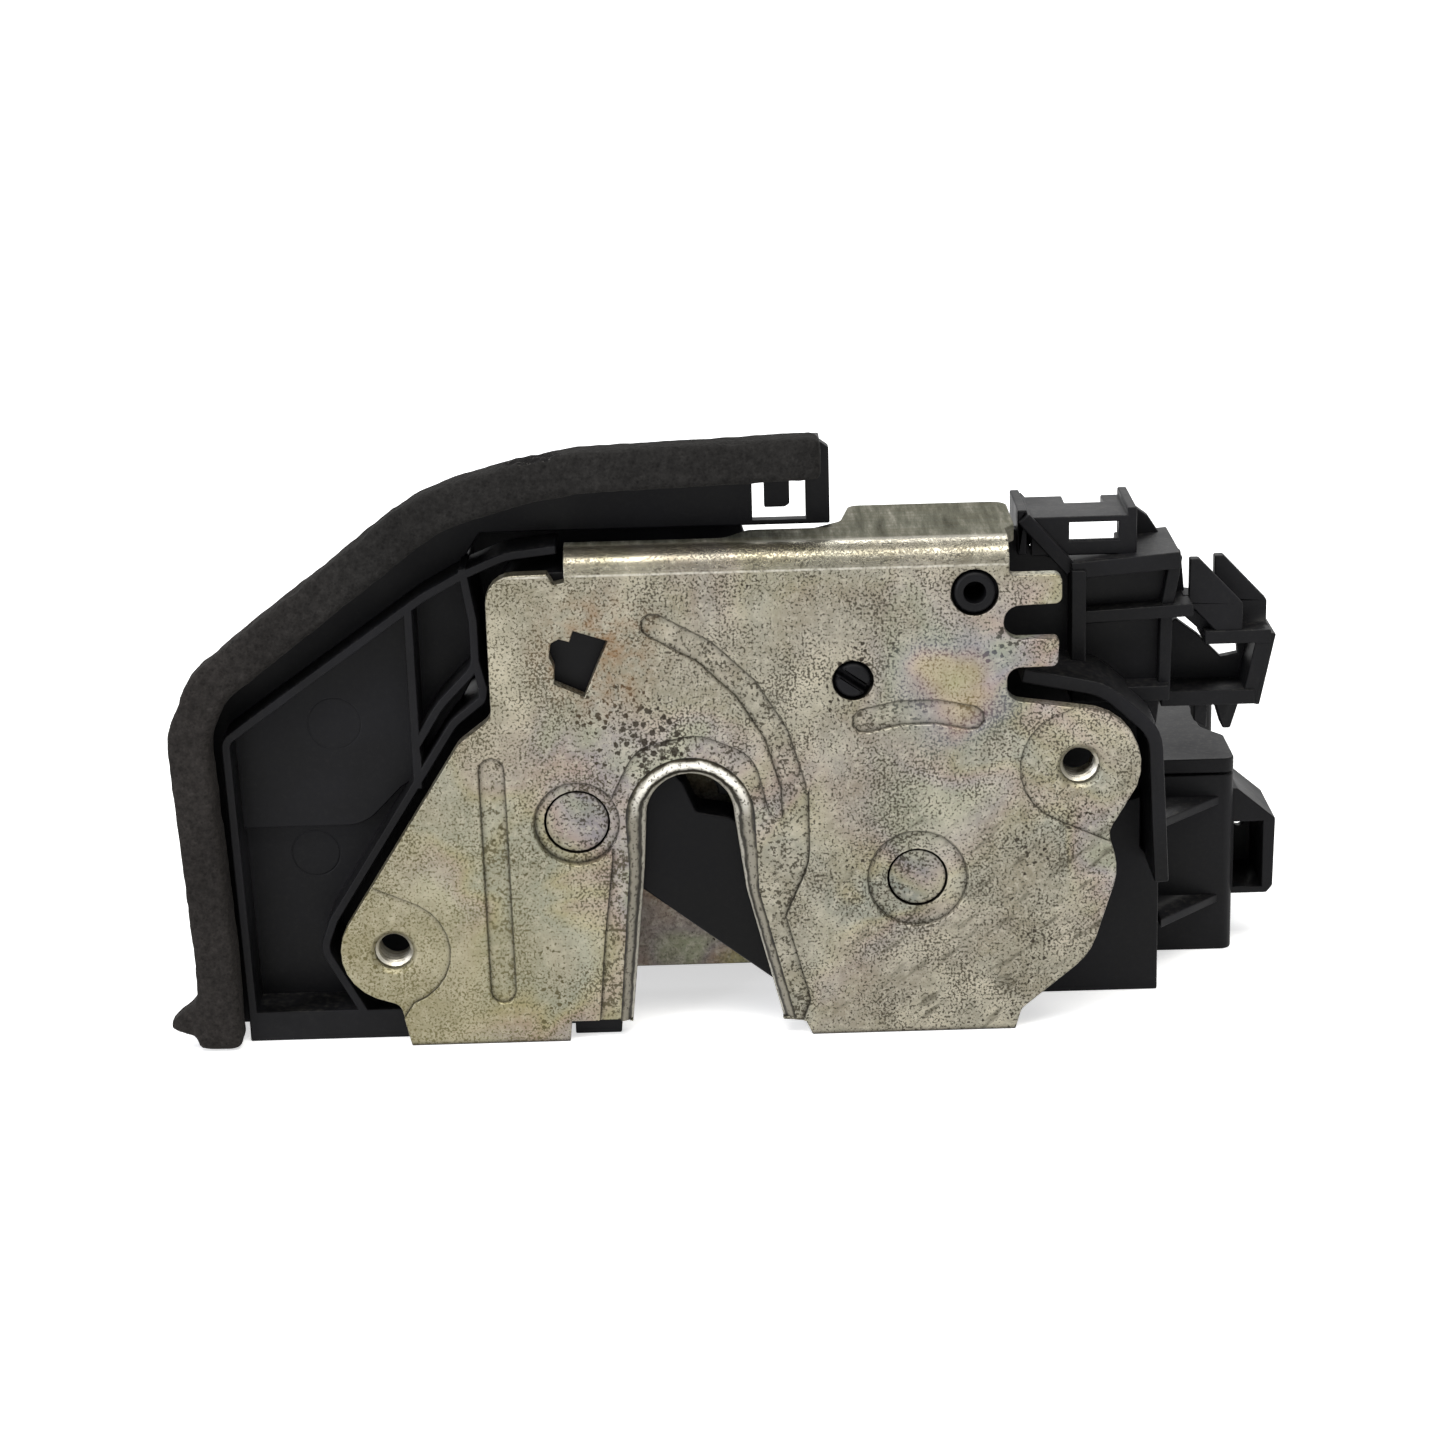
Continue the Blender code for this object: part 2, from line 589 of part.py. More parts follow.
def pawl():
    """Steel pawl with its bore and the pin that reaches back to the release lever."""
    body = prism(pawl_outline(), CLAW_FRONT_Y, CLAW_BACK_Y, "Y", "pawl")
    cut(body, prism(circle(PAWL_PIVOT, PAWL_STUD_RADIUS + GAP + 0.2), CLAW_FRONT_Y - 1, CLAW_BACK_Y + 1))
    pin = polar(PAWL_PIVOT, PAWL_PIN_REACH, PAWL_PIN_ANGLE)
    join(body, turned([(PAWL_PIN_RADIUS, CLAW_FRONT_Y + 1), (PAWL_PIN_RADIUS, LEVER_BACK_Y + 1)], pin, count=16))
    return finish(body, "pawl", *STEEL, origin=(PAWL_PIVOT[0], CLAW_FRONT_Y, PAWL_PIVOT[1]))


def rivet(name, pivot, stud, seat_depth):
    """Rivet: stud through both plates, its front end set into the seat, a head behind."""
    front = seat_depth
    profile = [(stud - 0.3, front), (stud, front + 0.3), (stud, BACK_PLATE_FRONT_Y - GAP),
               (stud - 1.0, BACK_PLATE_FRONT_Y - GAP), (stud - 1.0, WALL_FRONT_Y - GAP * 0.5)]
    return finish(turned(profile, pivot, count=24, name=name), name, *STEEL, origin=(pivot[0], 0.0, pivot[1]))


def coil_spring(name, pivot, coil_radius, wire, y, leg_angle):
    """Torsion spring behind a hub: one flat ring of wire with two legs."""
    ring = tube(coil_radius + wire / 2, coil_radius - wire / 2, y, y + wire, pivot, count=20, name=name)
    for angle, reach in ((leg_angle, 1.8), (leg_angle + math.radians(150), 1.8)):
        foot = polar(pivot, coil_radius, angle)
        end = (foot[0] + reach * math.cos(angle + 1.2), foot[1] + reach * math.sin(angle + 1.2))
        join(ring, prism(strip([foot, end], wire), y + 0.05, y + wire - 0.05))
    return finish(ring, name, *SPRING_STEEL, origin=(pivot[0], y, pivot[1]))


# Case between the plates

def case_outline():
    """Outline of the case, inside the lock plate but for its foot left of the slot."""
    slot = side_step(slot_path(), LIP_THICKNESS + GAP)
    foot_left = (slot[0][0], FLOOR_Z)
    foot_right = (slot[-1][0], CASE_FOOT_Z)
    return rounded([
        (37.6, CASE_TOP_Z, 1.0), (-17.0, CASE_TOP_Z), (-23.6, CASE_TOP_Z - 1.0, 3.0), (-23.9, -1.8, 3.0),
        (-33.2, -15.6, 3.0), (-33.4, -38.5, 3.0), (-36.0, -41.0, 2.0), (-35.5, CASE_FOOT_Z),
        (-16.3, CASE_FOOT_Z), (-16.3, FLOOR_Z), foot_left] + slot[1:-1] + [foot_right,
        (38.5, CASE_FOOT_Z, 4.0), (49.0, -33.5, 8.0), (50.6, -24.0, 6.0), (41.8, -16.0, 3.0), (37.6, -4.0, 3.0)])


def claw_room():
    """Pocket swept by the claw: round with its arm, then along the back of the arm when it is closed."""
    clear = 0.6
    room = arc(CLAW_PIVOT, CLAW_RADIUS + clear, -56, math.degrees(CLAW_TURN) - 32.5)
    for x, z, _ in ARM_BACK:
        spoke = Vector((x, z)) - Vector(CLAW_PIVOT)
        heading = math.atan2(spoke.y, spoke.x) + CLAW_TURN + math.radians(1.5)
        room.append(polar(CLAW_PIVOT, spoke.length + 2 * clear, heading))
    room += arc(CLAW_PIVOT, CLAW_HUB_RADIUS + 2 * clear, 120, 210)
    return room + arc(CLAW_PIVOT, HOOK_RADIUS + clear, -124, -56)


def pawl_room():
    """Pocket swept by the pawl."""
    nose = pawl_nose()[0]
    reach = (nose - Vector(PAWL_PIVOT)).length + 1.6
    heading = math.degrees(math.atan2(nose.y - PAWL_PIVOT[1], nose.x - PAWL_PIVOT[0]))
    outer = arc(PAWL_PIVOT, reach, heading - math.degrees(PAWL_TURN) - 11, heading + 11)
    hub = arc(PAWL_PIVOT, PAWL_HUB_RADIUS + 1.0, heading + 40, heading + 130)
    tail = arc(PAWL_PIVOT, PAWL_PIN_REACH + PAWL_PIN_RADIUS + 2.4, -68, 8)
    return outer + hub + tail + [polar(PAWL_PIVOT, PAWL_HUB_RADIUS + 1.2, math.radians(50))]


def pin_slot(low, high):
    """Arc slot that lets the pawl's pin through a wall."""
    start = math.degrees(PAWL_PIN_ANGLE)
    end = math.degrees(PAWL_PIN_ANGLE + PAWL_TURN)
    half = PAWL_PIN_RADIUS + 0.5
    return prism(arc_band(PAWL_PIVOT, PAWL_PIN_REACH - half, PAWL_PIN_REACH + half, start, end), low, high)


def latch_case():
    """Moulded case with the pockets of claw and pawl, the slot, a spigot and a slotted pin."""
    body = prism(case_outline(), CASE_FRONT_Y, CASE_BACK_Y, "Y", "latch_case")
    cut(body, prism(claw_room(), CASE_FRONT_Y - 1, POCKET_FLOOR_Y), prism(pawl_room(), CASE_FRONT_Y - 1, POCKET_FLOOR_Y))
    for centre, hole, inset in ((SPIGOT_HOLE, SPIGOT_HOLE_RADIUS, 0.25), (SLOTTED_HOLE, SLOTTED_HOLE_RADIUS, 0.3)):
        radius = hole - inset
        join(body, turned([(radius, CASE_FRONT_Y + 0.5), (radius, 0.4), (radius - 0.4, 0.0)], centre, count=20))
    cut(body, turned([(1.4, -1.0), (1.4, 8.0)], SPIGOT_HOLE, count=16))
    groove = Matrix.Rotation(math.radians(-35), 2) @ Vector((1.0, 0.0))
    middle = Vector(SLOTTED_HOLE)
    cut(body, prism(strip([tuple(middle - groove * 3), tuple(middle + groove * 3)], 0.9), -1.0, 1.6))
    for pivot, stud in ((CLAW_PIVOT, CLAW_STUD_RADIUS), (PAWL_PIVOT, PAWL_STUD_RADIUS)):
        cut(body, prism(circle(pivot, stud + GAP), POCKET_FLOOR_Y - 1, CASE_BACK_Y + 1))
    cut(body, pin_slot(POCKET_FLOOR_Y - 1, CASE_BACK_Y + 1))
    cut(body, prism(circle(PAWL_PIVOT, PAWL_HUB_RADIUS + 1.2), CASE_FRONT_Y - 1, POCKET_FLOOR_Y))
    for centre in stop_places().values():
        cut(body, prism(circle(centre, STOP_RADIUS + GAP, 16), CASE_FRONT_Y - 1, POCKET_FLOOR_Y))
    for place in SWITCHES.values():
        cut(body, *switch_room(*place))
    return finish(body, "latch_case", *BLACK_MOULDING)


def back_plate():
    """Flat plate that closes the latch behind and takes both rivets."""
    outline = rounded([
        (-27.0, -6.0, 4.0), (-27.0, -25.0, 4.0), (-16.0, -40.5, 3.0), (14.0, -40.5, 3.0), (37.5, -36.0, 4.0),
        (39.5, -17.0, 4.0), (27.0, -8.0, 6.0), (0.0, -3.0, 8.0)])
    body = prism(outline, BACK_PLATE_FRONT_Y, BACK_PLATE_BACK_Y, "Y", "back_plate")
    for pivot, stud in ((CLAW_PIVOT, CLAW_STUD_RADIUS), (PAWL_PIVOT, PAWL_STUD_RADIUS)):
        hole = prism(circle(pivot, stud - 1.0 + GAP), BACK_PLATE_FRONT_Y - 1, BACK_PLATE_BACK_Y + 1)
        cut(body, hole)
    cut(body, pin_slot(BACK_PLATE_FRONT_Y - 1, BACK_PLATE_BACK_Y + 1))
    return finish(body, "back_plate", *ZINC)


def striker_bumper():
    """Rubber buffer behind the claw, round the top of the slot."""
    centre = (-0.6, SLOT_TOP_Z - SLOT_TOP_RADIUS)
    outer = SLOT_TOP_RADIUS + LIP_THICKNESS
    outline = arc(centre, outer, 0, 180) + arc(centre, outer - BUMPER_WALL, 180, 0)
    body = prism(outline, CLAW_BACK_Y + GAP, CASE_BACK_Y, "Y", "striker_bumper")
    return finish(body, "striker_bumper", *RUBBER)


def stop_places():
    """Centres of the round rubber stops of the claw and of the pawl."""
    hook_side = polar(CLAW_PIVOT, HOOK_RADIUS, math.radians(-108))
    edge = Vector((-25.5, -27.0)).lerp(Vector(hook_side), 0.3)
    run = (Vector(hook_side) - Vector((-25.5, -27.0))).normalized()
    claw_side = edge + Vector((run.y, -run.x)) * (STOP_RADIUS + GAP)
    outline = pawl_outline()
    shoulder, nose = Vector(outline[-1]), Vector(outline[0])
    along = (nose - shoulder).normalized()
    pawl_side = shoulder.lerp(nose, 0.45) - Vector((-along.y, along.x)) * (STOP_RADIUS + GAP)
    return {"claw_stop": tuple(claw_side), "pawl_stop": tuple(pawl_side)}


def rubber_stop(name, centre):
    """Round rubber buffer that the claw or the pawl rests against."""
    body = turned([(STOP_RADIUS, CLAW_FRONT_Y), (STOP_RADIUS, POCKET_FLOOR_Y - GAP)], centre, count=16, name=name)
    return finish(body, name, *RUBBER)


def switch(name, x, z, tip):
    """Small switch in a pocket at the back of the case, with its button towards the latch part."""
    body = box((x - SWITCH_WIDTH / 2, x + SWITCH_WIDTH / 2), (CASE_BACK_Y - SWITCH_DEPTH, CASE_BACK_Y - GAP),
               (z, z + SWITCH_HEIGHT), name)
    button = turned([(SWITCH_BUTTON, z + 1.0), (SWITCH_BUTTON, tip)], (x, CASE_BACK_Y - SWITCH_DEPTH / 2), "Z", 12)
    for side in (-1, 1):
        hole = prism(circle((x + side * SWITCH_WIDTH * 0.3, z + SWITCH_HEIGHT * 0.7), 0.7, 12),
                     CASE_BACK_Y - 3.0, CASE_BACK_Y + 1)
        cut(body, hole)
    join(body, button)
    return finish(body, name, *NATURAL_MOULDING)


def switch_room(x, z, tip):
    """Cutters for a switch's pocket and for the way of its button."""
    half = SWITCH_WIDTH / 2 + GAP
    room = box((x - half, x + half), (CASE_BACK_Y - SWITCH_DEPTH - GAP, CASE_BACK_Y + 1),
               (z - GAP, z + SWITCH_HEIGHT + GAP))
    way = turned([(SWITCH_BUTTON + GAP, z + 1.0), (SWITCH_BUTTON + GAP, tip - 3.0)],
                 (x, CASE_BACK_Y - SWITCH_DEPTH / 2), "Z", 12)
    return room, way


# Main housing and foam

def foam_path():
    """Middle line of the foam, from its right end over the top and down to the floor."""
    return rounded([(16.8, 30.7), (-16.0, 29.6, 30.0), (-31.4, 25.5, 20.0), (-60.4, 3.4, 6.0), (-63.2, -3.0, 6.0),
                    (-61.8, -33.0, 30.0), (-61.8, FLOOR_Z)])


def foam_seal():
    """Foam strip on the front of the shield."""
    body = prism(strip(foam_path(), FOAM_WIDTH), FOAM_FRONT_Y, FOAM_BACK_Y, "Y", "foam_seal")
    join(body, prism([(-63.8, -37.6), (-68.4, -41.2), (-68.2, -42.4), (-64.8, -43.4), (-63.4, -44.4)],
                     FOAM_FRONT_Y + 0.5, FOAM_BACK_Y - 0.5))
    return finish(body, "foam_seal", *FOAM)


def shield_outline():
    """Shield wall behind the foam and the tray, down to the floor at its left."""
    outer = side_step(foam_path(), -0.2)
    return outer + [(-43.8, FLOOR_Z), (-43.8, -41.5), (-48.6, -32.7), (-47.0, -29.0), (-36.7, -12.9), (-30.2, -3.0),
                    (-27.4, 2.0), (-28.2, 17.0), (-26.0, SHIELD_FOOT_Z), (18.0, SHIELD_FOOT_Z), (18.0, 30.0)]


def tray_ribs():
    """Thin walls of the tray as (path, front depth, back depth)."""
    rim = rounded([(-16.2, 19.5), (-22.5, 18.8, 8.0), (-31.0, 15.3, 25.0), (-58.9, -4.2, 1.6), (-57.9, -43.0),
                   (-57.9, FLOOR_Z)])
    upright = [(-35.0, 12.7), (-34.9, -11.2)]
    inner = rounded([(-28.0, 17.4), (-26.9, 10.5), (-26.9, 4.6, 3.0), (-31.6, -0.2, 6.0), (-34.9, -5.5)])
    beside = rounded([(-26.0, 2.2), (-26.2, 0.4, 1.0), (-30.0, -2.6, 5.0), (-36.3, -12.4), (-46.7, -28.6, 3.0),
                      (-48.2, -32.5, 3.0), (-43.4, -41.6)])
    corner = [(-26.9, 5.4), (-26.1, 1.8)]
    back = SHIELD_FRONT_Y + 0.5
    return [(rim, back), (upright, back), (inner, WALL_BACK_Y), (beside, WALL_BACK_Y), (corner, WALL_BACK_Y)]


def wall_outline():
    """Back wall behind the latch, open below the back plate at the foot of the slot."""
    return [(5.6, 23.0), (-26.0, 23.0), (-28.4, 17.0), (-27.6, 2.0), (-30.4, -3.0), (-36.9, -12.9), (-47.2, -29.0),
            (-48.7, -32.7), (-43.8, -41.4), (-43.8, FLOOR_Z), (-22.0, FLOOR_Z), (-20.0, -39.6), (16.0, -39.6),
            (19.0, FLOOR_Z), (BODY_RIGHT_X, FLOOR_Z), (BODY_RIGHT_X, -10.0), (61.6, 4.0), (61.6, 12.0), (50.0, 12.0),
            (44.0, 14.4), (42.6, 17.2), (7.4, 17.2)]


def side_block():
    """Ribbed block at the top right, with its window, and the clip with two fins beside it."""
    back = HOUSING_BACK_Y
    parts = [
        box((48.6, 50.5), (11.5, WALL_BACK_Y - 0.2), (-4.8, 12.6)),
        prism(strip([(48.7, 12.4), (62.6, 13.5)], 2.2), 12.0, back),
        prism(strip([(48.9, 5.9), (64.4, 6.6)], 1.7), 13.0, 21.4),
        prism(strip([(49.4, -4.2), (61.4, -4.2)], 2.0), 12.3, 21.7),
        prism(strip([(62.3, 13.6), (61.1, 6.3), (60.9, -4.6)], 1.6), 14.0, 22.5),
        box((50.0, 61.4), (20.6, 22.0), (-4.5, 12.8)),
        box((43.7, 57.2), (14.0, 15.3), (14.0, 19.0)),
        box((43.0, 57.2), (14.0, back), (17.9, 19.1)),
        box((42.0, 43.2), (14.0, back), (14.2, 20.1)),
        box((56.0, 57.2), (14.0, back), (13.2, 20.1)),
        prism(strip([(42.7, 19.2), (48.9, 12.2)], 1.8), 13.0, back),
        prism([(56.6, 12.9), (56.6, 19.0), (59.8, 16.6), (62.0, 13.2)], 23.0, back - 0.4),
        prism([(42.4, 14.6), (42.4, 19.0), (48.4, 12.6)], 20.0, 21.2),
    ]
    cuts = [
        box((48.6, 54.9), (13.0, 16.0), (15.9, 18.3)),
        box((48.8, 53.8), (21.5, 27.0), (15.0, 21.0)),
        box((48.2, 55.6), (17.4, 27.0), (10.0, 15.6)),
        box((51.0, 53.4), (20.0, 23.0), (2.4, 4.9)),
    ]
    return parts, cuts


def clip_parts():
    """Cable clip at the right: two sloping fins over a square eye, with two hooks below."""
    fin = [(64.4, 12.4), (65.6, 12.4), (71.3, 6.3), (71.3, 1.4), (69.0, 1.4), (64.4, 6.5)]
    shift = Vector((3.7, -0.6))
    second = [tuple(Vector(p) + shift) for p in fin]
    return [
        prism(strip([(63.4, 6.7), (67.2, 6.2), (68.6, 2.2)], 1.8), 16.9, 21.1),
        prism(strip([(66.4, 1.9), (75.0, 1.9)], 1.8), 16.2, 23.7),
        prism(fin, 16.5, 18.1), prism(second, 20.2, 21.8),
        prism(strip([(74.5, 2.4), (72.5, -7.2)], 2.4), 16.4, 23.9),
        prism(strip([(60.8, -6.2), (73.0, -6.2)], 2.0), 16.1, 23.4),
        prism([(61.2, 1.4), (63.4, 3.0), (66.5, 0.6), (69.4, -2.4), (71.6, -2.0), (71.4, 1.4), (74.2, 1.4),
               (72.6, -6.5), (61.0, -6.5)], 22.0, 23.6),
        prism([(62.2, 13.2), (63.6, 12.8), (64.2, 6.6), (61.6, 6.8)], 19.4, 20.6),
        prism(strip([(63.0, 6.3), (67.4, 2.2)], 1.6), 18.4, 23.2),
        prism([(65.2, -6.0), (66.9, -6.0), (66.9, -10.4), (65.2, -9.4)], 16.7, 19.8),
        prism([(67.6, -6.0), (71.4, -6.0), (70.0, -10.6), (69.0, -10.6)], 16.8, 20.1),
    ]


def ear_rim():
    """Curved wall over the right ear of the lock plate, down to the lower body."""
    return rounded([(41.6, 1.5), (51.9, -0.7, 7.0), (58.4, -6.6, 5.0), (58.9, -17.0), (59.4, -26.6)])


def main_housing():
    """Moulded housing: shield, tray, back wall, right body, side block and clip."""
    body = prism(shield_outline(), SHIELD_FRONT_Y, SHIELD_BACK_Y, "Y", "main_housing")
    join(body, prism(strip(foam_path(), CARRIER_WALL), FOAM_BACK_Y + GAP, SHIELD_FRONT_Y + 0.5))
    for path, back in tray_ribs():
        join(body, prism(strip(path, RIM_WALL), TRAY_FRONT_Y, back))
    join(body, box((-58.2, -37.2), (TRAY_FRONT_Y, SHIELD_BACK_Y), (FLOOR_Z, FLOOR_Z + BAND_HEIGHT)))
    join(body, prism(rounded([(-58.4, -17.5), (-42.5, -17.5, 5.0), (-37.5, -12.5), (-35.2, -11.0), (-35.2, 12.0),
                              (-58.4, -4.0)]), SHIELD_FRONT_Y - TRAY_STEP, SHIELD_FRONT_Y + 0.5))
    join(body, prism(wall_outline(), WALL_FRONT_Y, WALL_BACK_Y))
    join(body, box((-25.6, 5.4), (SHIELD_BACK_Y - 1.0, WALL_BACK_Y), (SHIELD_FOOT_Z, SHIELD_FOOT_Z + 1.6)))
    join(body, prism([(41.4, FLOOR_Z), (BODY_RIGHT_X, FLOOR_Z), (BODY_RIGHT_X, -27.8), (57.8, -25.0), (57.8, -18.0),
                      (52.2, -20.0), (52.2, -33.6), (42.8, -42.2)], BODY_FRONT_Y, WALL_BACK_Y))
    join(body, prism(strip(ear_rim(), 1.8), TRAY_FRONT_Y, WALL_BACK_Y))
    for x in ((-43.8, -22.0), (19.0, BODY_RIGHT_X)):
        join(body, box(x, (WALL_FRONT_Y + 0.4, HOUSING_BACK_Y), (FLOOR_Z, FLOOR_Z + HOUSING_WALL)))
    for x in (-43.8, BODY_RIGHT_X - HOUSING_WALL):
        join(body, box((x, x + HOUSING_WALL), (WALL_FRONT_Y + 0.4, HOUSING_BACK_Y), (FLOOR_Z, -28.0)))
    join(body, box((-57.4, -43.0), (SHIELD_FRONT_Y + 0.5, SHIELD_BACK_Y + 4.0), (FLOOR_Z, FLOOR_Z + HOUSING_WALL)))
    parts, cuts = side_block()
    join(body, *parts)
    join(body, *clip_parts())
    cut(body, *cuts)
    cut(body, box((SHIELD_WINDOW[0], SHIELD_WINDOW[1]), (SHIELD_FRONT_Y - 1, SHIELD_BACK_Y + 1),
                  (SHIELD_WINDOW[2], SHIELD_WINDOW[3])))
    join(body, prism([(9.8, 26.6), (13.0, 26.6), (13.0, 22.9), (12.4, 22.5), (9.8, 22.5)], SHIELD_FRONT_Y + 0.2,
                     SHIELD_BACK_Y - 0.3))
    for pivot, stud in ((CLAW_PIVOT, CLAW_STUD_RADIUS), (PAWL_PIVOT, PAWL_STUD_RADIUS)):
        cut(body, prism(circle(pivot, stud), WALL_FRONT_Y - 1, WALL_BACK_Y + 1))
    cut(body, pin_slot(WALL_FRONT_Y - 1, WALL_BACK_Y + 1))
    cut(body, prism(circle(LEVER_PIVOT, LEVER_PIN_RADIUS + GAP), WALL_FRONT_Y - 1, WALL_BACK_Y + 1))
    return finish(body, "main_housing", *BLACK_MOULDING)


# Release levers

def lever_pin():
    """Headed pin of the release levers, through the back wall."""
    radius = LEVER_PIN_RADIUS
    end = INSIDE_LEVER_BACK_Y + GAP
    profile = [(radius, WALL_FRONT_Y + 0.2), (radius, end), (radius + 1.8, end), (radius + 1.8, end + 1.2),
               (radius + 0.8, end + 1.8)]
    return finish(turned(profile, LEVER_PIVOT, name="lever_pin"), "lever_pin", *STEEL)


def lever(name, arms, holes, front, hub, look):
    """Flat lever: a hub, straight arms as (path, width), and round holes as (centre, radius)."""
    back = front + LEVER_THICKNESS
    body = prism(circle(LEVER_PIVOT, hub), front, back, "Y", name)
    for path, width in arms:
        join(body, prism(strip(path, width), front, back))
        join(body, prism(circle(path[-1], width / 2, 16), front, back))
    for centre, radius in holes + [(LEVER_PIVOT, LEVER_PIN_RADIUS + GAP)]:
        cut(body, prism(circle(centre, radius, 20), front - 1, back + 1))
    return finish(body, name, *look, origin=(LEVER_PIVOT[0], front, LEVER_PIVOT[1]))


def release_levers():
    """Outside release lever against the pawl's pin, and the inside release lever behind it."""
    pin = polar(PAWL_PIVOT, PAWL_PIN_REACH, PAWL_PIN_ANGLE)
    arm_x = pin[0] + PAWL_PIN_RADIUS + GAP + LEVER_ARM / 2
    foot = [LEVER_PIVOT, (arm_x, LEVER_PIVOT[1] - 12.0), (arm_x, pin[1] - 2.5)]
    pull = (LEVER_PIVOT[0] - 15.0, LEVER_PIVOT[1] + 9.0)
    lever("release_lever", [(foot, LEVER_ARM), ([LEVER_PIVOT, pull], LEVER_ARM + 1.5)], [(pull, 1.5)],
          LEVER_FRONT_Y, LEVER_HUB, STEEL)
    hook = (LEVER_PIVOT[0] - 22.0, LEVER_PIVOT[1] - 7.0)
    lever("inside_release_lever", [([LEVER_PIVOT, hook], LEVER_ARM + 1.0)], [(hook, 1.5)],
          INSIDE_LEVER_FRONT_Y, LEVER_HUB, STEEL)
    lever_pin()


# Actuator housing and its drive

def box_outline(inset=0.0):
    """Outline of the actuator housing seen from above, moved inwards by an inset."""
    left, right = BOX_LEFT_X + inset, BOX_RIGHT_X - inset
    front, back = BOX_FRONT_Y + inset, BOX_BACK_Y - inset
    waist = right - 2.7
    tail = right + 3.3
    return rounded([(left, front, 4.0), (right, front, 1.5), (right, 36.0, 1.5), (waist, 40.0, 3.0),
                    (waist, 63.0 + inset, 3.0), (tail, 67.0 + inset, 1.5), (tail, back, 4.0), (left, back, 8.0)])


def screw_places():
    """Where the cover is screwed down."""
    edge = BOX_WALL + 3.4
    return [(BOX_LEFT_X + edge + 1.0, BOX_FRONT_Y + edge), (BOX_RIGHT_X - 16.0, BOX_FRONT_Y + edge),
            (BOX_RIGHT_X - 12.0, BOX_BACK_Y - edge), (BOX_LEFT_X + 4.6, BOX_BACK_Y - edge - 1.4),
            (30.0, BOX_BACK_Y - edge)]


def actuator_housing():
    """Open-topped box with screw bosses, the square eyelet and two gussets to the right body."""
    body = prism(box_outline(), FLOOR_Z, BOX_TOP_Z, "Z", "actuator_housing")
    cut(body, prism(box_outline(BOX_WALL), BOX_FLOOR_Z, BOX_TOP_Z + 1, "Z"))
    for place in screw_places():
        join(body, turned([(3.2, BOX_FLOOR_Z - 0.5), (3.0, BOX_TOP_Z)], place, "Z", 12))
        cut(body, prism(circle(place, SCREW_RADIUS + GAP, 10), BOX_TOP_Z - SCREW_LENGTH - 1, BOX_TOP_Z + 1, "Z"))
    side, front = BOX_RIGHT_X, BOX_FRONT_Y + 2.4
    join(body, prism([(side - 1.2, -22.8), (side + 0.8, -22.8), (side + 6.0, -27.2), (side + 5.8, -36.9),
                      (side + 5.0, -37.9), (side - 1.2, -37.9)], front, front + 12.0))
    cut(body, box((side + 0.4, side + 4.3), (front - 1.0, front + 10.6), (-36.9, -27.6)))
    cut(body, prism(stadium((side + 2.5, -29.6), (side + 2.7, -31.2), 1.4), front + 10.0, front + 13.0))
    for z in GUSSET_HEIGHTS:
        outline = [(BODY_RIGHT_X + 1.0, 16.5), (70.6, BOX_FRONT_Y + 0.5), (BODY_RIGHT_X + 1.0, BOX_FRONT_Y + 0.5)]
        join(body, prism(outline, z, z + GUSSET_WALL, "Z"))
    join(body, turned([(4.0, BOX_FLOOR_Z - 0.5), (4.0, WHEEL_Z - WHEEL_THICKNESS / 2 - GAP)], WHEEL_AXLE, "Z", 20))
    cut(body, prism(circle(WHEEL_AXLE, AXLE_RADIUS + GAP, 16), BOX_FLOOR_Z, WHEEL_Z, "Z"))
    join(body, turned([(3.4, BOX_FLOOR_Z - 0.5), (3.4, LOCK_LEVER_Z - GAP)], LOCK_PIVOT, "Z", 20))
    join(body, turned([(LOCK_PIN_RADIUS, LOCK_LEVER_Z - 1.0), (LOCK_PIN_RADIUS, LOCK_LEVER_Z + LEVER_THICKNESS + 1.5)],
                      LOCK_PIVOT, "Z", 16))
    join(body, tube(KEY_RADIUS, KEY_RADIUS - 1.6, BOX_FLOOR_Z - 0.5, BOX_FLOOR_Z + 3.0, KEY_AXIS, "Z"))
    motor_y = worm_axis_y()
    for x in (MOTOR_LEFT_X + 2.0, MOTOR_RIGHT_X - 4.0):
        cradle = box((x, x + 2.0), (motor_y - MOTOR_RADIUS - 1.5, motor_y + MOTOR_RADIUS + 1.5),
                     (BOX_FLOOR_Z - 0.5, WHEEL_Z - 2.0))
        cut(cradle, prism(circle((motor_y, WHEEL_Z), MOTOR_RADIUS + GAP, 28), x - 1, x + 3, "X"))
        join(body, cradle)
    bearing_x = WHEEL_AXLE[0] + WORM_LENGTH / 2 + 0.6
    bearing = box((bearing_x, bearing_x + 2.5), (motor_y - 3.0, motor_y + 3.0), (BOX_FLOOR_Z - 0.5, WHEEL_Z + 2.6))
    cut(bearing, prism(circle((motor_y, WHEEL_Z), MOTOR_SHAFT_RADIUS + GAP, 16), bearing_x - 1, bearing_x + 1.8, "X"))
    join(body, bearing)
    return finish(body, "actuator_housing", *BLACK_MOULDING)


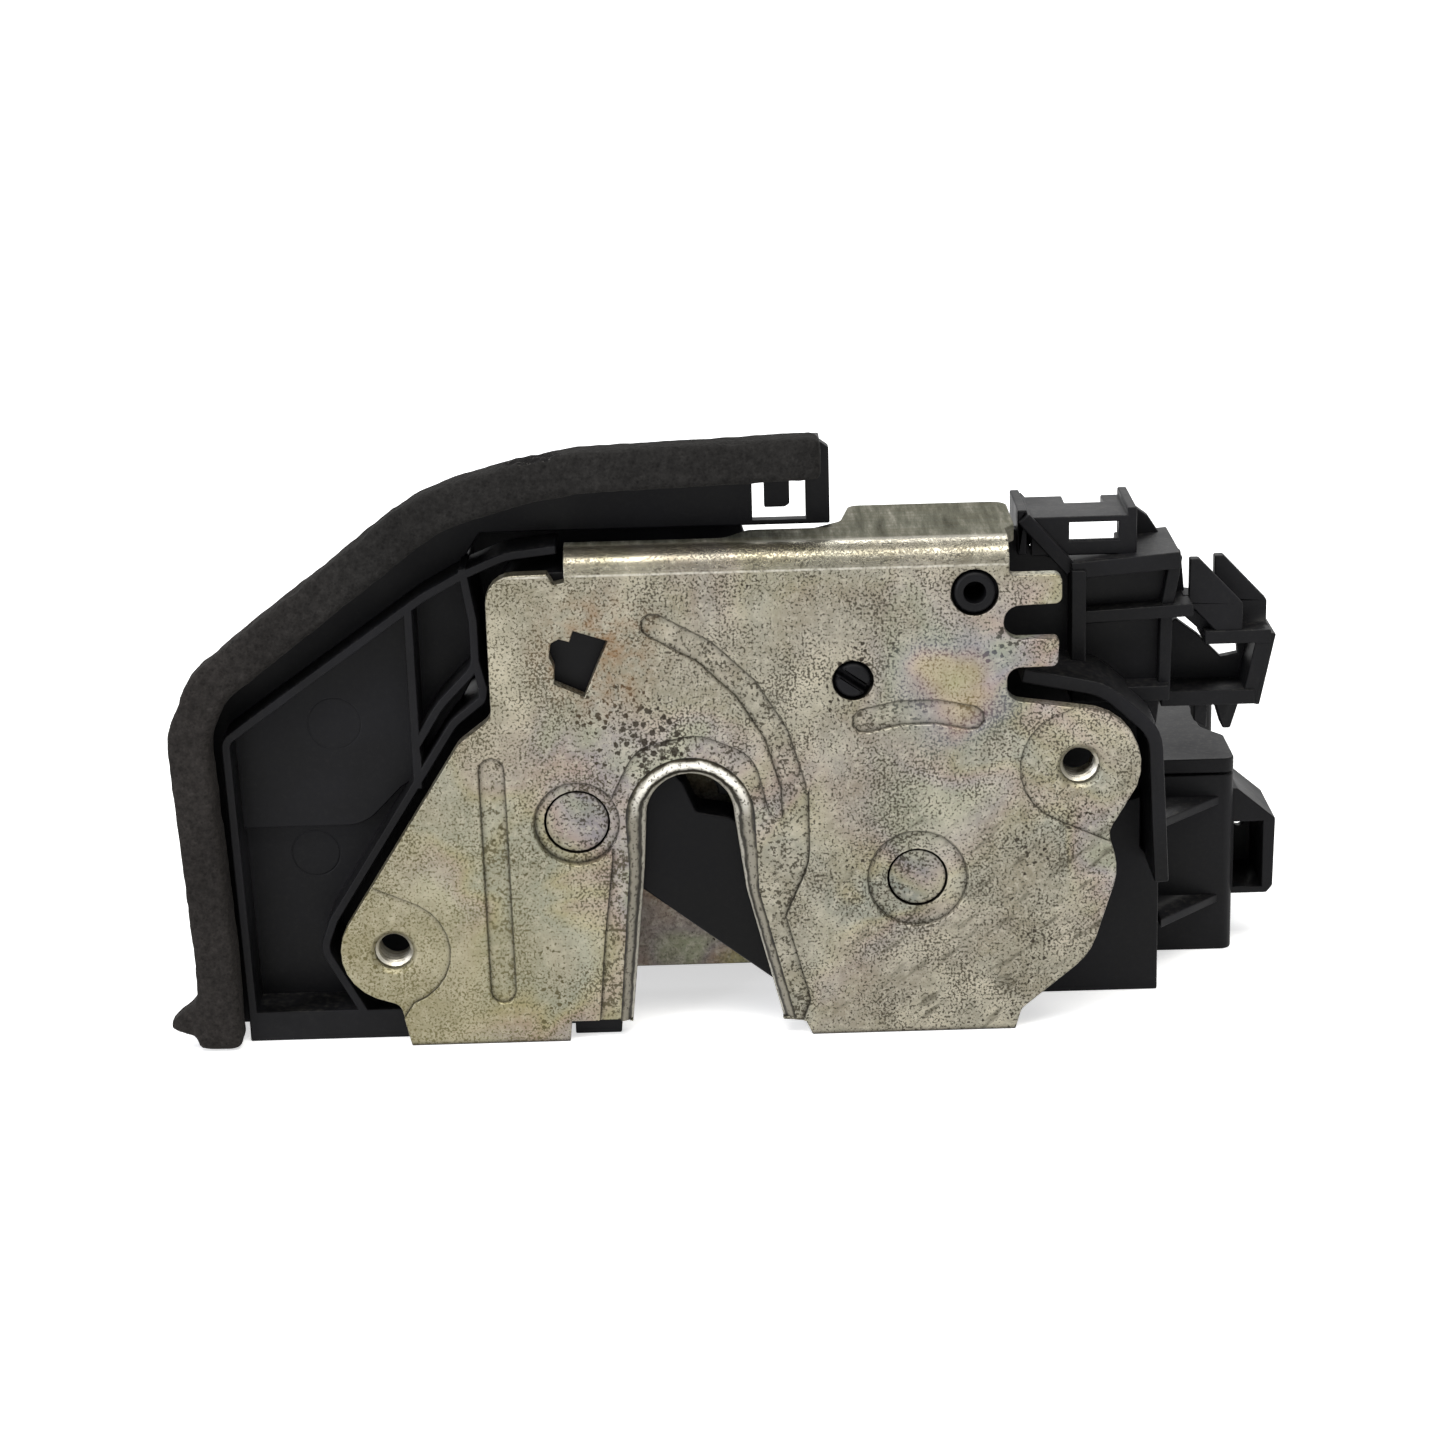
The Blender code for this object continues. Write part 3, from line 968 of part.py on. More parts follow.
def actuator_cover():
    """Lid of the actuator housing with stiffening ribs, screw holes and the key coupler's bore."""
    body = prism(box_outline(), COVER_BOTTOM_Z, COVER_TOP_Z, "Z", "actuator_cover")
    rail_y = BOX_BACK_Y - 2.0
    join(body, box((34.0, BOX_RIGHT_X), (rail_y, BOX_BACK_Y), (COVER_TOP_Z - 0.5, COVER_TOP_Z + RAIL_HEIGHT)))
    for x in (6.0, 13.0, 20.0, 27.0):
        join(body, box((x, x + 1.2), (BOX_FRONT_Y + 6.0, SOCKET_BOX[2] - 6.0), (COVER_TOP_Z - 0.5, COVER_TOP_Z + 1.2)))
    for place in screw_places():
        cut(body, prism(circle(place, SCREW_RADIUS + GAP, 10), BOX_TOP_Z - 3, COVER_TOP_Z + 1, "Z"))
    join(body, turned([(KEY_RADIUS + 0.6, COVER_TOP_Z - 0.5), (KEY_RADIUS, COVER_TOP_Z + 2.0)], KEY_AXIS, "Z"))
    cut(body, prism(circle(KEY_AXIS, KEY_SHAFT_RADIUS + GAP), BOX_TOP_Z - 3, COVER_TOP_Z + 5, "Z"))
    x0, x1, y0, y1 = SOCKET_BOX
    cut(body, box((x0 + 3.0, x1 - 3.0), (y0 + 3.0, y1 - 3.0), (BOX_TOP_Z - 3, COVER_TOP_Z + 1)))
    return finish(body, "actuator_cover", *BLACK_MOULDING)


def cover_screws():
    """Pan-head screws that hold the cover."""
    for number, place in enumerate(screw_places(), 1):
        name = f"cover_screw_{number}"
        head = COVER_TOP_Z + GAP
        body = turned([(SCREW_RADIUS, head - SCREW_LENGTH), (SCREW_RADIUS, head), (2.6, head), (2.6, head + 0.9),
                       (1.9, head + 1.6)], place, "Z", 10, name)
        cut(body, box((place[0] - 3.0, place[0] + 3.0), (place[1] - 0.35, place[1] + 0.35), (head + 0.8, head + 3)))
        finish(body, name, *STEEL, origin=(*place, head))


def connector_socket():
    """Shrouded plug socket on the cover, open at its top, with a locking ramp."""
    x0, x1, y0, y1 = SOCKET_BOX
    foot = COVER_TOP_Z + GAP
    top = foot + SOCKET_HEIGHT
    body = prism(rounded([(x0, y0, 2.0), (x1, y0, 2.0), (x1, y1, 2.0), (x0, y1, 2.0)]), foot, top, "Z",
                 "connector_socket")
    cut(body, box((x0 + 1.5, x1 - 1.5), (y0 + 1.5, y1 - 1.5), (foot + 1.5, top + 1)))
    for i in range(CONTACTS):
        x = contact_x(i)
        cut(body, box((x - 0.7, x + 0.7), (contact_y() - 0.7, contact_y() + 0.7), (foot - 1, foot + 3)))
    middle = (x0 + x1) / 2
    join(body, prism([(y0 + 0.5, top - 6), (y0 - 1.4, top - 4), (y0 + 0.5, top - 1)], middle - 3, middle + 3, "X"))
    for side in (x0 + 0.3, x1 - 0.3):
        outward = -1 if side < middle else 1
        join(body, box(sorted((side, side + outward * 2.2)), (y0 + 4.0, y1 - 4.0), (foot, foot + 2.0)))
    return finish(body, "connector_socket", *BLACK_MOULDING)


def contact_x(i):
    """Place of a contact along the socket."""
    x0, x1 = SOCKET_BOX[0] + 3.6, SOCKET_BOX[1] - 3.6
    return x0 + (x1 - x0) * i / (CONTACTS - 1)


def contact_y():
    """Middle of the socket across its short side."""
    return (SOCKET_BOX[2] + SOCKET_BOX[3]) / 2


def contact_strip():
    """Moulded strip under the cover with the blade contacts of the socket."""
    foot = COVER_BOTTOM_Z - GAP
    y = contact_y()
    body = box((contact_x(0) - 2.0, contact_x(CONTACTS - 1) + 2.0), (y - 2.0, y + 2.0), (foot - 2.0, foot),
               "contact_strip")
    for i in range(CONTACTS):
        x = contact_x(i)
        join(body, box((x - 0.35, x + 0.35), (y - 0.35, y + 0.35), (foot - 1.0, COVER_TOP_Z + SOCKET_HEIGHT * 0.7)))
    return finish(body, "contact_strip", *BRASS)


def pitch_radius():
    """Pitch radius of the worm wheel."""
    return GEAR_MODULE * WHEEL_TEETH / 2


def worm_axis_y():
    """Depth of the worm and motor axis: the wheel's pitch circle plus the worm's."""
    return WHEEL_AXLE[1] + pitch_radius() + WORM_RADIUS - GEAR_MODULE * 0.9


def gear_outline():
    """Toothed outline of the worm wheel with a gap in line with the worm."""
    outer = pitch_radius() + GEAR_MODULE * 0.85
    root = pitch_radius() - GEAR_MODULE * 1.25
    pitch = math.tau / WHEEL_TEETH
    outline = []
    for i in range(WHEEL_TEETH):
        middle = math.pi / 2 + pitch * (i + 0.5)
        for share, radius in ((-0.30, root), (-0.10, outer), (0.10, outer), (0.30, root)):
            outline.append(polar(WHEEL_AXLE, radius, middle + share * pitch))
    return outline


def worm_wheel():
    """Wheel of the lock drive: teeth, bore and the peg that moves the lock lever."""
    low = WHEEL_Z - WHEEL_THICKNESS / 2
    high = WHEEL_Z + WHEEL_THICKNESS / 2
    body = prism(gear_outline(), low, high, "Z", "worm_wheel")
    cut(body, prism(circle(WHEEL_AXLE, AXLE_RADIUS + GAP, 16), low - 1, high + 1, "Z"))
    peg = polar(WHEEL_AXLE, PEG_REACH, -WHEEL_TURN / 2)
    join(body, turned([(PEG_RADIUS, high - 1.0), (PEG_RADIUS, LOCK_LEVER_Z + LEVER_THICKNESS)], peg, "Z", 12))
    return finish(body, "worm_wheel", *NATURAL_MOULDING, origin=(*WHEEL_AXLE, WHEEL_Z))


def wheel_axle():
    """Steel pin of the worm wheel, pressed into its boss."""
    profile = [(AXLE_RADIUS, BOX_FLOOR_Z + GAP), (AXLE_RADIUS, WHEEL_Z + WHEEL_THICKNESS / 2 + 0.8),
               (AXLE_RADIUS - 0.4, WHEEL_Z + WHEEL_THICKNESS / 2 + 1.2)]
    return finish(turned(profile, WHEEL_AXLE, "Z", 16, "wheel_axle"), "wheel_axle", *STEEL)


def motor_worm():
    """Worm on the motor's shaft: a helical thread swept along the shaft."""
    y = worm_axis_y()
    left = WHEEL_AXLE[0] - WORM_LENGTH / 2
    core = WORM_RADIUS - GEAR_MODULE * 2.0
    body = turned([(MOTOR_SHAFT_RADIUS, MOTOR_RIGHT_X - 3.0), (MOTOR_SHAFT_RADIUS, left), (core, left),
                   (core, left + WORM_LENGTH), (MOTOR_SHAFT_RADIUS, left + WORM_LENGTH),
                   (MOTOR_SHAFT_RADIUS, left + WORM_LENGTH + 2.0)], (y, WHEEL_Z), "X", 16, "motor_worm")
    lead = math.pi * GEAR_MODULE
    turns = 2 * math.floor((WORM_LENGTH - 1.6) / (2 * lead))
    bm = bmesh.new()
    start = WHEEL_AXLE[0] - turns * lead / 2
    profile = [(-0.75, core - 0.25), (-0.30, WORM_RADIUS), (0.30, WORM_RADIUS), (0.75, core - 0.25)]
    face = bm.faces.new([bm.verts.new(Vector((start + a, y - r, WHEEL_Z)) * MM) for a, r in profile])
    bmesh.ops.spin(bm, geom=[face] + face.edges[:] + face.verts[:], cent=Vector((0, y, WHEEL_Z)) * MM,
                   axis=(1, 0, 0), angle=math.tau * turns, dvec=Vector((lead / WORM_STEPS, 0, 0)) * MM,
                   steps=turns * WORM_STEPS, use_duplicate=False)
    join(body, new_object("thread", bm))
    return finish(body, "motor_worm", *BRASS, origin=(WHEEL_AXLE[0], y, WHEEL_Z))


def lock_motor():
    """Small motor lying in the housing, with a flat on each side and a bore for its shaft."""
    y = worm_axis_y()
    flats = rounded([(y - MOTOR_RADIUS, WHEEL_Z - 7.2, 6.0), (y + MOTOR_RADIUS, WHEEL_Z - 7.2, 6.0),
                     (y + MOTOR_RADIUS, WHEEL_Z + 7.2, 6.0), (y - MOTOR_RADIUS, WHEEL_Z + 7.2, 6.0)])
    right = MOTOR_RIGHT_X
    body = prism(flats, MOTOR_LEFT_X, right - 1.5, "X", "lock_motor")
    join(body, turned([(3.0, right - 2.0), (3.0, right)], (y, WHEEL_Z), "X", 20))
    cut(body, prism(circle((y, WHEEL_Z), MOTOR_SHAFT_RADIUS + GAP, 16), right - 3.5, right + 1, "X"))
    return finish(body, "lock_motor", *STEEL)


def lock_lever():
    """Lever worked by the wheel's peg in its fork, with an arm towards the key coupler."""
    pivot = Vector(LOCK_PIVOT)
    low, high = LOCK_LEVER_Z, LOCK_LEVER_Z + LEVER_THICKNESS
    reach = (Vector(WHEEL_AXLE) - pivot).length - PEG_REACH
    fork = pivot + Vector((-reach - 3.2, 0.0))
    angle = LOCK_TURN / 2

    def at_rest(outline):
        return turned_about(LOCK_PIVOT, outline, angle)

    body = prism(at_rest(strip([LOCK_PIVOT, tuple(fork)], 2 * (PEG_RADIUS + GAP) + 3.6)), low, high, "Z", "lock_lever")
    join(body, prism(circle(LOCK_PIVOT, 5.0), low, high, "Z"))
    join(body, prism(at_rest(strip([LOCK_PIVOT, (LOCK_PIVOT[0] + 2.0, 58.0), (LOCK_PIVOT[0] + 4.0, 62.0)], 4.0)), low,
                     high, "Z"))
    inner = pivot + Vector((-reach + 3.4, 0.0))
    cut(body, prism(at_rest(stadium(tuple(inner), tuple(fork - Vector((4.0, 0.0))), 2 * (PEG_RADIUS + GAP))), low - 1,
                    high + 1, "Z"))
    cut(body, prism(circle(LOCK_PIVOT, LOCK_PIN_RADIUS + GAP, 16), low - 1, high + 1, "Z"))
    return finish(body, "lock_lever", *STEEL, origin=(*LOCK_PIVOT, low))


def key_coupler():
    """Rotor turned by the key cylinder: slotted head above the cover, fork below it."""
    low = BOX_FLOOR_Z + GAP
    head = COVER_TOP_Z + 4.5
    shaft = KEY_SHAFT_RADIUS
    body = turned([(KEY_RADIUS - 1.6 - GAP, low), (KEY_RADIUS - 1.6 - GAP, low + 4.0), (3.0, low + 4.0),
                   (3.0, BOX_TOP_Z - 4.0), (shaft + 1.5, BOX_TOP_Z - 4.0), (shaft + 1.5, BOX_TOP_Z - 1.5),
                   (shaft, BOX_TOP_Z - 1.5), (shaft, head)], KEY_AXIS, "Z", 20, "key_coupler")
    cut(body, box((KEY_AXIS[0] - shaft - 1, KEY_AXIS[0] + shaft + 1), (KEY_AXIS[1] - 0.9, KEY_AXIS[1] + 0.9),
                  (head - 3.5, head + 1)))
    return finish(body, "key_coupler", *NATURAL_MOULDING, origin=(*KEY_AXIS, head))


def build():
    """Make every piece."""
    for old in list(bpy.data.objects):
        bpy.data.objects.remove(old)
    lock_plate()
    latch_case()
    back_plate()
    claw()
    pawl()
    rivet("claw_rivet", CLAW_PIVOT, CLAW_STUD_RADIUS, SEAT_DEPTH + EMBOSS_DEPTH + 0.2)
    rivet("pawl_rivet", PAWL_PIVOT, PAWL_STUD_RADIUS, SEAT_DEPTH + 0.4)
    spring_y = CLAW_BACK_Y + GAP
    coil_spring("claw_spring", CLAW_PIVOT, CLAW_STUD_RADIUS + 1.1, SPRING_WIRE, spring_y, math.radians(150))
    coil_spring("pawl_spring", PAWL_PIVOT, PAWL_STUD_RADIUS + 1.1, SPRING_WIRE, spring_y, math.radians(100))
    striker_bumper()
    for name, centre in stop_places().items():
        rubber_stop(name, centre)
    for name, place in SWITCHES.items():
        switch(name, *place)
    main_housing()
    foam_seal()
    release_levers()
    actuator_housing()
    actuator_cover()
    cover_screws()
    connector_socket()
    contact_strip()
    worm_wheel()
    wheel_axle()
    motor_worm()
    lock_motor()
    lock_lever()
    key_coupler()


build()
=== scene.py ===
"""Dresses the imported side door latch: finishes, foam, threads, rivets, camera and studio.

Everything is in metres in the frame of the CAD model. The lock plate looks along -Y and +Z is up.
"""

import json
import math

import bmesh
import bpy
from mathutils import Matrix, Vector, noise


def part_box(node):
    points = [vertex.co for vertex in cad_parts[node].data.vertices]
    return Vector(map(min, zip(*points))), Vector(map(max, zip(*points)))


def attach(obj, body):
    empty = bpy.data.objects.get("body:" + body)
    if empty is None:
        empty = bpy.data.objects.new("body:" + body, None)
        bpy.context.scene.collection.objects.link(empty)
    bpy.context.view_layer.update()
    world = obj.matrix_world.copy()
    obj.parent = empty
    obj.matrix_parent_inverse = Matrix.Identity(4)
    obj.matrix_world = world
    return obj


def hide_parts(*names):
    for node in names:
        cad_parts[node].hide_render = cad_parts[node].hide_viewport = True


bl_info = {
    "name": "Door Latch Dressing",
    "version": (1, 0, 0),
    "blender": (4, 5, 0),
    "location": "View3D > Sidebar > Latch",
    "description": "Builds the finishes, the foam seal and the studio of a car door latch",
    "category": "Object",
}

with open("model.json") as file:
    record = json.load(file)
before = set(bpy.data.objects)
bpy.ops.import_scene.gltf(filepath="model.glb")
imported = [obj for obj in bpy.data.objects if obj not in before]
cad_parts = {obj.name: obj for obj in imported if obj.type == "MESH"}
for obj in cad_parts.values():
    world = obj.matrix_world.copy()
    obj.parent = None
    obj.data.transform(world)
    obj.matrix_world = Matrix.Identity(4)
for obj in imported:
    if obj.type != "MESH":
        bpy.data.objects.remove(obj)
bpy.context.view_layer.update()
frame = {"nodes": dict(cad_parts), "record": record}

MM = 0.001
LOCK_BODY = "lock_body"
BODY_OF = {node: body for body, nodes in frame["record"]["behaviour"]["bodies"].items()
           for node in nodes}

# Places on the plate in millimetres: x and z, or x, y and z
LEFT_EAR = (-39.0, -32.2)
RIGHT_EAR = (48.6, -9.8)
ARCH_X, ARCH_Z, ARCH_RADIUS = -0.6, -15.4, 5.6
LEFT_LEG = [(-8.75, -42.6), (-6.6, -22.0), (-6.2, -15.4)]
RIGHT_LEG = [(5.0, -15.4), (6.3, -25.5), (10.6, -42.9)]
WINDOW_CENTRE = (-11.5, 0.0, 7.0)
RUST_CENTRE = (-8.5, 0.0, -0.5)
FILM_CENTRE = (37.2, 4.0, 6.0)
FILM_RADIUS = 10.5
CREASE_HEIGHT = 16.85
RUB_ANGLE = 38.0

# Elsewhere: where the foam is torn, and the ejector marks of the tray as (x, z, radius)
TORN_X, TORN_Z = -19.4, 33.0
EJECTOR_MARKS = ((-45.6, -3.7, 3.4), (-49.2, -21.6, 3.1))

# Rolled lip: depths of its front and back, how far it rolls in, steps of its quarter round, gap to the plate
LIP_FRONT = 0.47
LIP_BACK = 2.85
LIP_ROLL = 2.0
LIP_STEPS = 12
LIP_GAP = 0.03
# It loses this part of its width over this height below the arch
LIP_TAPER = 0.38
LIP_TAPER_HEIGHT = 10.0

# Screw thread in the ears: radii, and the depth at which the ridge starts
BORE_RADIUS = 2.5
CREST_RADIUS = 2.08
THREAD_START = 1.5
THREAD_TURNS = 5
TURN_STEPS = 32

# Rivets: how far a head stands past its post, and the depths of the step behind the plates
HEAD_OVERHANG = 0.12
STEP_DEPTHS = (13.2, 13.5)

# Rounding of edges: turns in degrees past which an edge is rounded or, unrounded, shaded as sharp
ROUNDED_TURN = 32
SHARP_TURN = 24
SHARP_TURN_AT_SLIVERS = 75
SLIVER_WIDTH = 0.02

# Camera of the photograph, fitted to it: aim and distance in millimetres, angles in degrees
CAMERA_AIM = (3.5, 0.0, -2.2)
CAMERA_DISTANCE = 412.0
CAMERA_ELEVATION = 17.5
CAMERA_ROLL = -1.65
CAMERA_LENS = 82.5


def linear(code):
    """Linear colour of an sRGB hex value, with alpha 1."""
    shades = [int(code[i:i + 2], 16) / 255 for i in (1, 3, 5)]
    return tuple(c / 12.92 if c <= 0.04045 else ((c + 0.055) / 1.055) ** 2.4 for c in shades) + (1.0,)


# Settings

class LatchSettings(bpy.types.PropertyGroup):
    """Sizes and colours that can be changed before the pieces are made."""

    plate_edge: bpy.props.FloatProperty(
        name="Plate edge", description="Radius of the stamped edges of the lock plate",
        default=0.22 * MM, min=0.0, unit="LENGTH")
    lip_width: bpy.props.FloatProperty(
        name="Lip width", description="Width of the rolled edge round the top of the fishmouth",
        default=2.6 * MM, min=0.0002, unit="LENGTH")
    moulding_edge: bpy.props.FloatProperty(
        name="Moulding edge", description="Radius of the moulded edges of the plastic pieces",
        default=0.2 * MM, min=0.0, unit="LENGTH")
    thread_pitch: bpy.props.FloatProperty(
        name="Thread pitch", description="Pitch of the screw threads in both ears",
        default=1.0 * MM, min=0.0002, unit="LENGTH")
    foam_voxel: bpy.props.FloatProperty(
        name="Foam grain", description="Size of the mesh cells of the foam seal",
        default=0.42 * MM, min=0.0002, unit="LENGTH")
    foam_swell: bpy.props.FloatProperty(
        name="Foam unevenness", description="How far the skin of the foam wanders in and out",
        default=0.26 * MM, min=0.0, unit="LENGTH")
    zinc_colour: bpy.props.FloatVectorProperty(
        name="Zinc", description="Main colour of the zinc plated steel", subtype="COLOR", size=4,
        default=linear("#878375"), min=0.0, max=1.0)
    moulding_colour: bpy.props.FloatVectorProperty(
        name="Moulding", description="Main colour of the black mouldings", subtype="COLOR", size=4,
        default=linear("#101012"), min=0.0, max=1.0)
    foam_colour: bpy.props.FloatVectorProperty(
        name="Foam", description="Main colour of the foam seal", subtype="COLOR", size=4,
        default=linear("#242322"), min=0.0, max=1.0)


# Materials

def add_node(tree, kind, inputs=None, **settings):
    """Add a node: its settings are set and its inputs filled or linked; a hex value stands for a colour."""
    made = tree.nodes.new(kind)
    for name, value in settings.items():
        setattr(made, name, value)
    for key, value in (inputs or {}).items():
        if isinstance(value, bpy.types.NodeSocket):
            tree.links.new(value, made.inputs[key])
        else:
            made.inputs[key].default_value = linear(value) if isinstance(value, str) else value
    return made


def per_mm(size):
    """Texture scale at which one feature is about this many millimetres wide."""
    return 1000.0 / size


def noise_at(tree, place, size, detail, output=0, **inputs):
    """Noise with features of this many millimetres: its value, or its colour as output 1."""
    made = add_node(tree, "ShaderNodeTexNoise",
                    {"Vector": place, "Scale": per_mm(size), "Detail": detail, **inputs})
    return made.outputs[output]


def cells_at(tree, place, size):
    """Distance to the middle of cells of this many millimetres."""
    made = add_node(tree, "ShaderNodeTexVoronoi", {"Vector": place, "Scale": per_mm(size)})
    return made.outputs["Distance"]


def axes(tree, place):
    """The x, y and z of a place."""
    return add_node(tree, "ShaderNodeSeparateXYZ", {0: place}).outputs


def stretched(tree, place, scale):
    """Place scaled along each axis: a texture is drawn out where the scale is small."""
    return add_node(tree, "ShaderNodeMapping", {"Vector": place, "Scale": scale}).outputs[0]


def wobbled(tree, place, noise_colour, amount):
    """Place shaken by a noise."""
    return add_node(tree, "ShaderNodeMix", {0: amount, 4: place, 5: noise_colour},
                    data_type="VECTOR").outputs[1]


def away_from(tree, place, point):
    """Distance in metres from a point given in millimetres."""
    return add_node(tree, "ShaderNodeVectorMath", {0: place, 1: Vector(point) * MM},
                    operation="DISTANCE").outputs["Value"]


def calc(tree, operation, *values):
    """Result of a Math node."""
    return add_node(tree, "ShaderNodeMath", dict(enumerate(values)), operation=operation).outputs[0]


def remap(tree, value, low, high, first=0.0, last=1.0):
    """Value mapped from low and high to first and last, and held between them."""
    return add_node(tree, "ShaderNodeMapRange", {0: value, 1: low, 2: high, 3: first, 4: last}).outputs[0]


def blend(tree, amount, under, over):
    """One colour laid over another by an amount."""
    return add_node(tree, "ShaderNodeMix", {0: amount, 6: under, 7: over}, data_type="RGBA").outputs[2]


def multiplied(tree, value, factors):
    """Colour or place with its three numbers multiplied."""
    return add_node(tree, "ShaderNodeVectorMath", {0: value, 1: factors}, operation="MULTIPLY").outputs[0]


def shaded(tree, tone, factor):
    """Colour made darker or lighter as a whole."""
    return add_node(tree, "ShaderNodeVectorMath", {0: tone, "Scale": factor}, operation="SCALE").outputs[0]


def ramp(tree, value, stops):
    """Colour ramp through stops of (position, colour)."""
    made = add_node(tree, "ShaderNodeValToRGB", {0: value})
    elements = made.color_ramp.elements
    while len(elements) < len(stops):
        elements.new(1.0)
    for element, (position, colour) in zip(elements, stops):
        element.position = position
        element.color = linear(colour) if isinstance(colour, str) else colour
    return made.outputs[0]


def start_material(name, metallic, roughness):
    """Empty material with a Principled shader and object coordinates."""
    made = bpy.data.materials.new(name)
    made.use_nodes = True
    tree = made.node_tree
    shader = tree.nodes["Principled BSDF"]
    shader.inputs["Metallic"].default_value = metallic
    shader.inputs["Roughness"].default_value = roughness
    place = add_node(tree, "ShaderNodeTexCoord").outputs["Object"]
    return made, tree, shader, place


def times(colour, factor):
    """Colour with its red, green and blue multiplied, and alpha 1."""
    return tuple(min(1.0, c * factor) for c in colour[:3]) + (1.0,)


def bump(tree, shader, strength, distance, heights):
    """Bump from a list of (height socket, weight) added together."""
    total = None
    for height, weight in heights:
        part = calc(tree, "MULTIPLY", height, weight)
        total = part if total is None else calc(tree, "ADD", total, part)
    made = add_node(tree, "ShaderNodeBump", {"Height": total, "Strength": strength, "Distance": distance})
    tree.links.new(made.outputs[0], shader.inputs["Normal"])


def zinc_plated_steel(name, colour, front=False, pitting=0.85, shade=1.0):
    """Pressed steel, zinc plated and passivated: warm grey, pitted, with faint rainbow tints in places."""
    made, tree, shader, place = start_material(name, 0.8, 0.45)
    cloud = noise_at(tree, place, 9, 6.0, Roughness=0.62)
    dull = ramp(tree, cloud, [(0.34, "#7A7464"), (0.50, tuple(colour)), (0.68, "#A8A291")])
    # Chromate film: pastel rings that follow its thickness, in patches a few centimetres across
    film = noise_at(tree, place, 17, 2.0, Distortion=0.6)
    tint = ramp(tree, film, [
        (0.30, "#8A887E"), (0.40, "#7E8D86"), (0.46, "#98905F"), (0.52, "#9C7B7E"),
        (0.58, "#877D94"), (0.64, "#82917C"), (0.75, tuple(colour))])
    patch = noise_at(tree, place, 30, 1.0)
    patch = remap(tree, patch, 0.46, 0.64, 0.03, 0.32)
    tone = blend(tree, patch, dull, tint)
    # White bloom, a millimetre or so wide
    fine = noise_at(tree, place, 1.0, 5.0, Roughness=0.65)
    bloom = remap(tree, fine, 0.48, 0.68, 0.0, 0.5)
    tone = blend(tree, bloom, tone, "#B2AD9E")
    # Pitting: dense dark grains of 0.1 to 0.4 mm, thicker in clouds
    crowd = noise_at(tree, place, 7, 4.0, Roughness=0.6)
    crowd = remap(tree, crowd, 0.36, 0.66, 0.08, -0.03)
    grains = noise_at(tree, place, 0.33, 3.0, Roughness=0.55)
    pit = calc(tree, "SUBTRACT", grains, crowd)
    pit = remap(tree, pit, 0.495, 0.56, 0.0, pitting)
    if front:
        # The bend has fewer of them
        clean = remap(tree, axes(tree, place)[2], 16.2 * MM, 17.2 * MM, 1.0, 0.6)
        pit = calc(tree, "MULTIPLY", pit, clean)
    tone = blend(tree, pit, tone, "#2E281D")
    # Rust spots up to a millimetre wide, few and uneven
    wobble = noise_at(tree, place, 0.5, 3.0, output=1)
    shaken = wobbled(tree, place, wobble, 0.0007)
    spot = cells_at(tree, shaken, 1.0)
    few = noise_at(tree, place, 12, 3.0)
    few = remap(tree, few, 0.49, 0.72, 0.0, 0.40)
    if front:
        # Most of them below the odd window
        below = away_from(tree, place, RUST_CENTRE)
        below = remap(tree, below, 3.0 * MM, 10.0 * MM, 0.31, 0.0)
        few = calc(tree, "ADD", few, below)
    rust = calc(tree, "SUBTRACT", few, spot)
    rust = remap(tree, rust, 0.0, 0.05, 0.0, 0.9)
    tone = blend(tree, rust, tone, "#231C14")
    rough = remap(tree, cloud, 0.3, 0.7, 0.36, 0.55)
    if front:
        tone, rough = front_wear(tree, shader, place, tone, rough)
    # Darker in inner corners and along grooves, where ambient occlusion finds little open space: partly
    # grime, partly painted shade
    occlusion_shade = add_node(tree, "ShaderNodeAmbientOcclusion", {"Distance": 0.8 * MM}, samples=6).outputs["AO"]
    dirt = remap(tree, occlusion_shade, 0.91, 0.66, 0.0, 0.9)
    tone = blend(tree, dirt, tone, "#1E1A14")
    # shade scales the whole colour; on the back plate, at 0.68, it is painted shade
    tone = shaded(tree, tone, shade)
    tree.links.new(tone, shader.inputs["Base Color"])
    tree.links.new(rough, shader.inputs["Roughness"])
    bump(tree, shader, 0.45, 0.09 * MM, [(fine, 0.7), (pit, -0.9), (rust, -0.6)])
    return made


